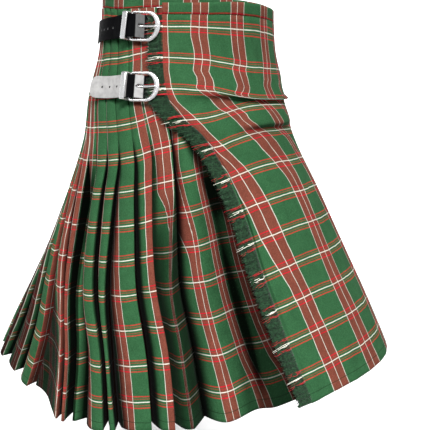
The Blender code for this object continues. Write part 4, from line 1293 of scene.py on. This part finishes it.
def place_on_cloth(tree, wander):
    """The two distances over the cloth, each with a little wander."""
    return [maths(tree, "ADD", way, noise(tree, scale, 1.0, -wander, wander))
            for way, scale in zip(sheet_places(tree), (38.0, 31.0))]


def painted_fold_shade(tree, cloth):
    """Painted shade: the cloth's colour darkened by its painted_shade attribute, deep in folds and
    under overhangs.
    """
    inside = tree.nodes.new("ShaderNodeAttribute")
    inside.attribute_name = "painted_shade"
    kept = maths(tree, "MULTIPLY_ADD", inside.outputs["Fac"], -0.985, 1.0)
    return scaled_colour(tree, cloth, kept)


def weft_stripes(tree, down, colours):
    """The colours of the threads that run across, and the weight of their lines."""
    green, red = colours.green, colours.weft_red
    white = tuple(1.25 * c for c in colours.white)
    faint = tuple(0.5 * g + 0.5 * r for g, r in zip(green, red))
    repeat = maths(tree, "FRACT", maths(tree, "DIVIDE", down, WEFT))
    return stripes(tree, repeat, WEFT, [
        (0.7, white, 1.0), (3.4, green, 0.0), (4.8, faint, 0.25), (6.6, green, 0.0),
        (8.3, red, 0.45), (40.2, green, 0.0), (41.9, red, 0.45), (43.7, green, 0.0),
        (45.1, faint, 0.25), (47.8, green, 0.0), (48.5, white, 1.0)])


def tartan(name, colours, stitch=True):
    """Wool twill: coloured stripes both ways, each crossing a mix of its two threads."""
    material, tree, shader = new_material(name)
    across, down = place_on_cloth(tree, 0.0004)
    green, red, white = colours.green, colours.warp_red, colours.white
    repeat = maths(tree, "FRACT", maths(tree, "DIVIDE", across, WARP))
    warp, warp_line = stripes(tree, repeat, WARP, [
        (0.4, white, 1.0), (10.65, red, 0.0), (11.5, white, 1.0), (45.5, green, 0.0),
        (46.35, white, 1.0), (56.6, red, 0.0), (57.0, white, 1.0)])
    weft, weft_line = weft_stripes(tree, down, colours)
    rib = maths(tree, "MULTIPLY", maths(tree, "ADD", across, down), 2 * math.pi / TWILL)
    twill = maths(tree, "SINE", rib)
    pull = maths(tree, "MULTIPLY", maths(tree, "SUBTRACT", weft_line, warp_line), 0.38)
    share = maths(tree, "ADD", maths(tree, "MULTIPLY_ADD", twill, 0.10, 0.45), pull)
    cloth = mixed(tree, share, warp, weft)
    cloth = scaled_colour(tree, cloth, noise(tree, 55.0, 3.0, 0.90, 1.08))
    cloth = scaled_colour(tree, cloth, noise(tree, 620.0, 2.0, 0.80, 1.16))
    if stitch:
        stitched = maths(tree, "COMPARE", down, HEM + TOP_OF_CLOTH - STITCHES_UP, 0.0006)
        cloth = mixed(tree, maths(tree, "MULTIPLY", stitched, 0.6), cloth, STITCH_COLOUR)
    fluff = maths(tree, "MULTIPLY_ADD", twill, 0.35, noise(tree, 420.0, 2.0, 0.0, 1.0))
    feed(tree, shader, {
        "Base Color": painted_fold_shade(tree, cloth), "Roughness": 0.92, "IOR": 1.15,
        "Specular IOR Level": 0.10, "Sheen Weight": 0.01, "Sheen Roughness": 0.45,
        "Normal": bump(tree, fluff, 0.0004, 0.45)})
    return material


def frayed_wool(name, colours):
    """The loose weft threads' wool: their colours, darker by a random amount, brighter at the
    lines.
    """
    material, tree, shader = new_material(name)
    weft, weft_line = weft_stripes(tree, place_on_cloth(tree, 0.0006)[1], colours)
    random_darkening = noise(tree, 420.0, 2.0, 0.12, 0.62)
    shade = scaled_colour(tree, weft, maths(tree, "MULTIPLY_ADD", weft_line, 1.3, random_darkening))
    feed(tree, shader, {"Base Color": shade, "Roughness": 0.95, "Specular IOR Level": 0.2,
                        "Sheen Weight": 0.2})
    return material


def leather(name, zones, roughness):
    """Leather coloured in zones along the strap, for painted shade and sheen: each is (end in mm,
    colour).
    """
    material, tree, shader = new_material(name)
    place_along = maths(tree, "DIVIDE", sheet_places(tree)[1], PAINTED_ZONES_LENGTH)
    zone_colour = stripes(tree, place_along, PAINTED_ZONES_LENGTH, [(*zone, 1.0) for zone in zones])[0]
    feed(tree, shader, {
        "Base Color": scaled_colour(tree, zone_colour, noise(tree, 130.0, 3.0, 0.82, 1.12)),
        "Roughness": noise(tree, 210.0, 2.0, roughness - 0.06, roughness + 0.08),
        "Specular IOR Level": 0.05, "IOR": 1.12,
        "Normal": bump(tree, noise(tree, 900.0, 2.0, 0.0, 1.0), 0.0002, 0.35)})
    return material


def polished_metal(name, colour):
    """Bright plated metal with faint waves."""
    material, tree, shader = new_material(name)
    feed(tree, shader, {
        "Base Color": (*colour[:3], 1.0), "Metallic": 0.85,
        "Roughness": noise(tree, 160.0, 2.0, 0.14, 0.24),
        "Normal": bump(tree, noise(tree, 300.0, 1.0, 0.0, 1.0), 0.0001, 0.08)})
    return material


def kept_material(name, make, *values):
    """A material by name, made the first time it is asked for."""
    return bpy.data.materials.get(name) or make(name, *values)


def colours_set():
    """The colours of the panel."""
    return bpy.context.scene.kilt_colours


def tartan_cloth():
    return kept_material("tartan_wool", tartan, colours_set())


def waistband_cloth():
    return kept_material("tartan_waistband", tartan, colours_set(), False)


def black_leather():
    # Painted sheen: light grey zones on the black strap, inside the buckle's opening and under its
    # round end.
    colour, painted_sheen = colours_set().black_leather, (0.11, 0.11, 0.11)
    return kept_material("strap_black_leather", leather,
                         [(35, painted_sheen), (40, colour), (52, painted_sheen), (240, colour)], 0.42)


def grey_leather():
    # Painted reflection: the lower strap's glossy leather painted grey for the sheen it shows, with
    # painted shade in the dark zones under the frame and by the bar and keeper.
    colour, dark = colours_set().grey_leather, colours_set().black_leather
    return kept_material("strap_grey_leather", leather,
                         [(38, dark), (50, colour), (62, dark), (240, colour)], 0.55)


def chrome():
    return kept_material("polished_chrome", polished_metal, colours_set().metal)


# ---------------------------------------------------------------- the stage
def stage_piece(name, build, material):
    """A part of the stage, kept out of the product."""
    mesh = finished(build, name)
    mesh.materials.append(material)
    mesh.shade_smooth()
    in_scene(name, mesh)


def direction(bearing, height):
    """The way towards a bearing and a height, in degrees."""
    turn, rise = math.radians(bearing), math.radians(height)
    return Vector((math.cos(turn) * math.cos(rise), math.sin(turn) * math.cos(rise),
                   math.sin(rise)))


def make_stage():
    """The floor and its backdrop, the lamps and the camera."""
    pale, tree, shader = new_material("pale_paper")
    feed(tree, shader, {"Base Color": (0.80, 0.80, 0.80, 1.0), "Roughness": 0.9})
    build = bmesh.new()
    bmesh.ops.create_grid(build, x_segments=4, y_segments=4, size=FLOOR_HALF)
    bmesh.ops.translate(build, verts=build.verts, vec=(0.0, 0.0, FLOOR))
    stage_piece("floor", build, pale)

    build = bmesh.new()
    turns = np.radians(np.linspace(-90.0, 0.0, 13))
    profile = [(SWEEP_IN + math.cos(a), 1.0 + math.sin(a)) for a in turns]
    profile = [(SWEEP_IN, 0.0), *profile, (SWEEP_OUT, SWEEP_TOP)]
    corners = [build.verts.new((x, 0.0, FLOOR + 0.002 + z)) for x, z in profile]
    edges = [build.edges.new(pair) for pair in zip(corners, corners[1:])]
    bmesh.ops.spin(build, geom=corners + edges, cent=(0, 0, 0), axis=(0, 0, 1),
                   angle=2 * math.pi, steps=72, use_merge=True)
    bmesh.ops.recalc_face_normals(build, faces=build.faces)
    stage_piece("paper_sweep", build, pale)

    world = bpy.data.worlds.new("studio")
    world.use_nodes = True
    feed(world.node_tree, world.node_tree.nodes["Background"],
         {"Color": (1.0, 1.0, 1.0, 1.0), "Strength": SKY})
    bpy.context.scene.world = world
    bpy.context.scene.view_settings.view_transform = "Standard"
    for lamp in LAMPS:
        light = bpy.data.lights.new(lamp.name, "SUN")
        light.energy = lamp.strength
        light.angle = math.radians(lamp.softness)
        source = direction(lamp.bearing, lamp.height)
        in_scene(lamp.name, light).rotation_euler = source.to_track_quat("Z", "Y").to_euler()

    lens = bpy.data.cameras.new("camera")
    lens.sensor_width, lens.lens = SENSOR, LENS
    eye = in_scene("camera", lens)
    eye.location = CAMERA_AT
    ahead = direction(CAMERA_BEARING, CAMERA_PITCH)
    eye.rotation_euler = ahead.to_track_quat("-Z", "Y").to_euler()
    bpy.context.scene.camera = eye


# ---------------------------------------------------------------- settings and operators
class KiltSizes(bpy.types.PropertyGroup):
    rows_of_pleats: IntProperty(
        name="Rows of pleats", description="Rows of cloth down the pleats", default=112,
        min=20, max=200)
    rows_of_aprons: IntProperty(
        name="Rows of aprons", description="Rows of cloth down each apron", default=150,
        min=60, max=260)
    columns_of_aprons: IntProperty(
        name="Columns of aprons", description="Columns of cloth across each apron", default=150,
        min=40, max=300)
    threads_of_fringe: IntProperty(
        name="Threads of fringe", description="Loose threads down the frayed edge",
        default=1500, min=100, max=4000)


class KiltColours(bpy.types.PropertyGroup):
    green: FloatVectorProperty(
        name="Green", description="Green wool of the ground", subtype="COLOR", size=3,
        default=(0.026, 0.088, 0.036))
    warp_red: FloatVectorProperty(
        name="Red down", description="Red wool of the bands that run down", subtype="COLOR",
        size=3, default=(0.250, 0.009, 0.024))
    weft_red: FloatVectorProperty(
        name="Red across", description="Red wool of the lines that run across", subtype="COLOR",
        size=3, default=(0.52, 0.013, 0.022))
    white: FloatVectorProperty(
        name="White", description="White wool of the thin lines", subtype="COLOR", size=3,
        default=(0.52, 0.51, 0.44))
    black_leather: FloatVectorProperty(
        name="Black leather", description="Upper strap and chapes", subtype="COLOR", size=3,
        default=(0.003, 0.003, 0.0035))
    # Painted reflection: the grey that the lower strap's glossy leather shows.
    grey_leather: FloatVectorProperty(
        name="Grey leather", description="Lower strap", subtype="COLOR", size=3,
        default=(0.36, 0.355, 0.35))
    metal: FloatVectorProperty(
        name="Metal", description="Buckles, prongs and keepers", subtype="COLOR", size=3,
        default=(0.94, 0.94, 0.95))


class KILT_OT_pleats(bpy.types.Operator):
    """Lay the pleats round the back and the right side"""
    bl_idname = "kilt.pleats"
    bl_label = "Pleats"

    def execute(self, context):
        piece = make_pleats(context.scene.kilt_sizes, tartan_cloth())
        return {"FINISHED"}


class KILT_OT_under_apron(bpy.types.Operator):
    """Hang the under apron out of the last pleat and across the front"""
    bl_idname = "kilt.under_apron"
    bl_label = "Under apron"

    def execute(self, context):
        piece = make_under_apron(context.scene.kilt_sizes, tartan_cloth())
        return {"FINISHED"}


class KILT_OT_outer_apron(bpy.types.Operator):
    """Hang the outer apron over the front, with its fold below the straps"""
    bl_idname = "kilt.outer_apron"
    bl_label = "Outer apron"

    def execute(self, context):
        piece = make_outer_apron(context.scene.kilt_sizes, tartan_cloth())
        return {"FINISHED"}


class KILT_OT_waistband(bpy.types.Operator):
    """Fold the waistband over the back and over the outer apron"""
    bl_idname = "kilt.waistband"
    bl_label = "Waistband"

    def execute(self, context):
        back, front = make_waistbands(waistband_cloth())
        return {"FINISHED"}


class KILT_OT_fringe(bpy.types.Operator):
    """Fray the outer apron's free edge"""
    bl_idname = "kilt.fringe"
    bl_label = "Fringe"

    def execute(self, context):
        wool = kept_material("frayed_wool", frayed_wool, colours_set())
        make_fringe(context.scene.kilt_sizes, wool)
        return {"FINISHED"}


class KILT_OT_straps(bpy.types.Operator):
    """Pass the two leather straps through their buckles, with their chapes behind"""
    bl_idname = "kilt.straps"
    bl_label = "Straps"

    def execute(self, context):
        upper, lower = STRAPS
        make_strap(upper, black_leather(), "strap_upper")
        make_strap(lower, grey_leather(), "strap_lower")
        for strap in STRAPS:
            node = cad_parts["chape_" + strap.name]
            for place_of_material in node.material_slots:
                place_of_material.material = black_leather()
        return {"FINISHED"}


class KILT_OT_buckles(bpy.types.Operator):
    """Set the frames, prongs and keepers of the two buckles"""
    bl_idname = "kilt.buckles"
    bl_label = "Buckles"

    def execute(self, context):
        for strap in STRAPS:
            make_buckle(strap, chrome())
            make_keeper(strap, chrome())
            make_prong(strap, chrome())
        return {"FINISHED"}


class KILT_OT_stage(bpy.types.Operator):
    """Set the floor, the lamps and the camera"""
    bl_idname = "kilt.stage"
    bl_label = "Stage"

    def execute(self, context):
        make_stage()
        return {"FINISHED"}


PIECES = (KILT_OT_pleats, KILT_OT_under_apron, KILT_OT_outer_apron, KILT_OT_waistband,
          KILT_OT_fringe, KILT_OT_straps, KILT_OT_buckles, KILT_OT_stage)


class KILT_PT_panel(bpy.types.Panel):
    bl_idname = "KILT_PT_panel"
    bl_label = "Tartan kilt"
    bl_space_type = "VIEW_3D"
    bl_region_type = "UI"
    bl_category = "Kilt"

    def draw(self, context):
        for group in (context.scene.kilt_sizes, context.scene.kilt_colours):
            for name in group.bl_rna.properties.keys():
                if name not in ("rna_type", "name"):
                    self.layout.prop(group, name)
        for piece in PIECES:
            self.layout.operator(piece.bl_idname)


CLASSES = (KiltSizes, KiltColours, *PIECES, KILT_PT_panel)


def register():
    for item in CLASSES:
        bpy.utils.register_class(item)
    bpy.types.Scene.kilt_sizes = PointerProperty(type=KiltSizes)
    bpy.types.Scene.kilt_colours = PointerProperty(type=KiltColours)


def unregister():
    del bpy.types.Scene.kilt_colours
    del bpy.types.Scene.kilt_sizes
    for item in reversed(CLASSES):
        bpy.utils.unregister_class(item)


def main():
    register()
    bpy.ops.kilt.pleats()
    bpy.ops.kilt.under_apron()
    bpy.ops.kilt.outer_apron()
    bpy.ops.kilt.waistband()
    bpy.ops.kilt.fringe()
    bpy.ops.kilt.straps()
    bpy.ops.kilt.buckles()
    bpy.ops.kilt.stage()


if __name__ == "__main__":
    main()
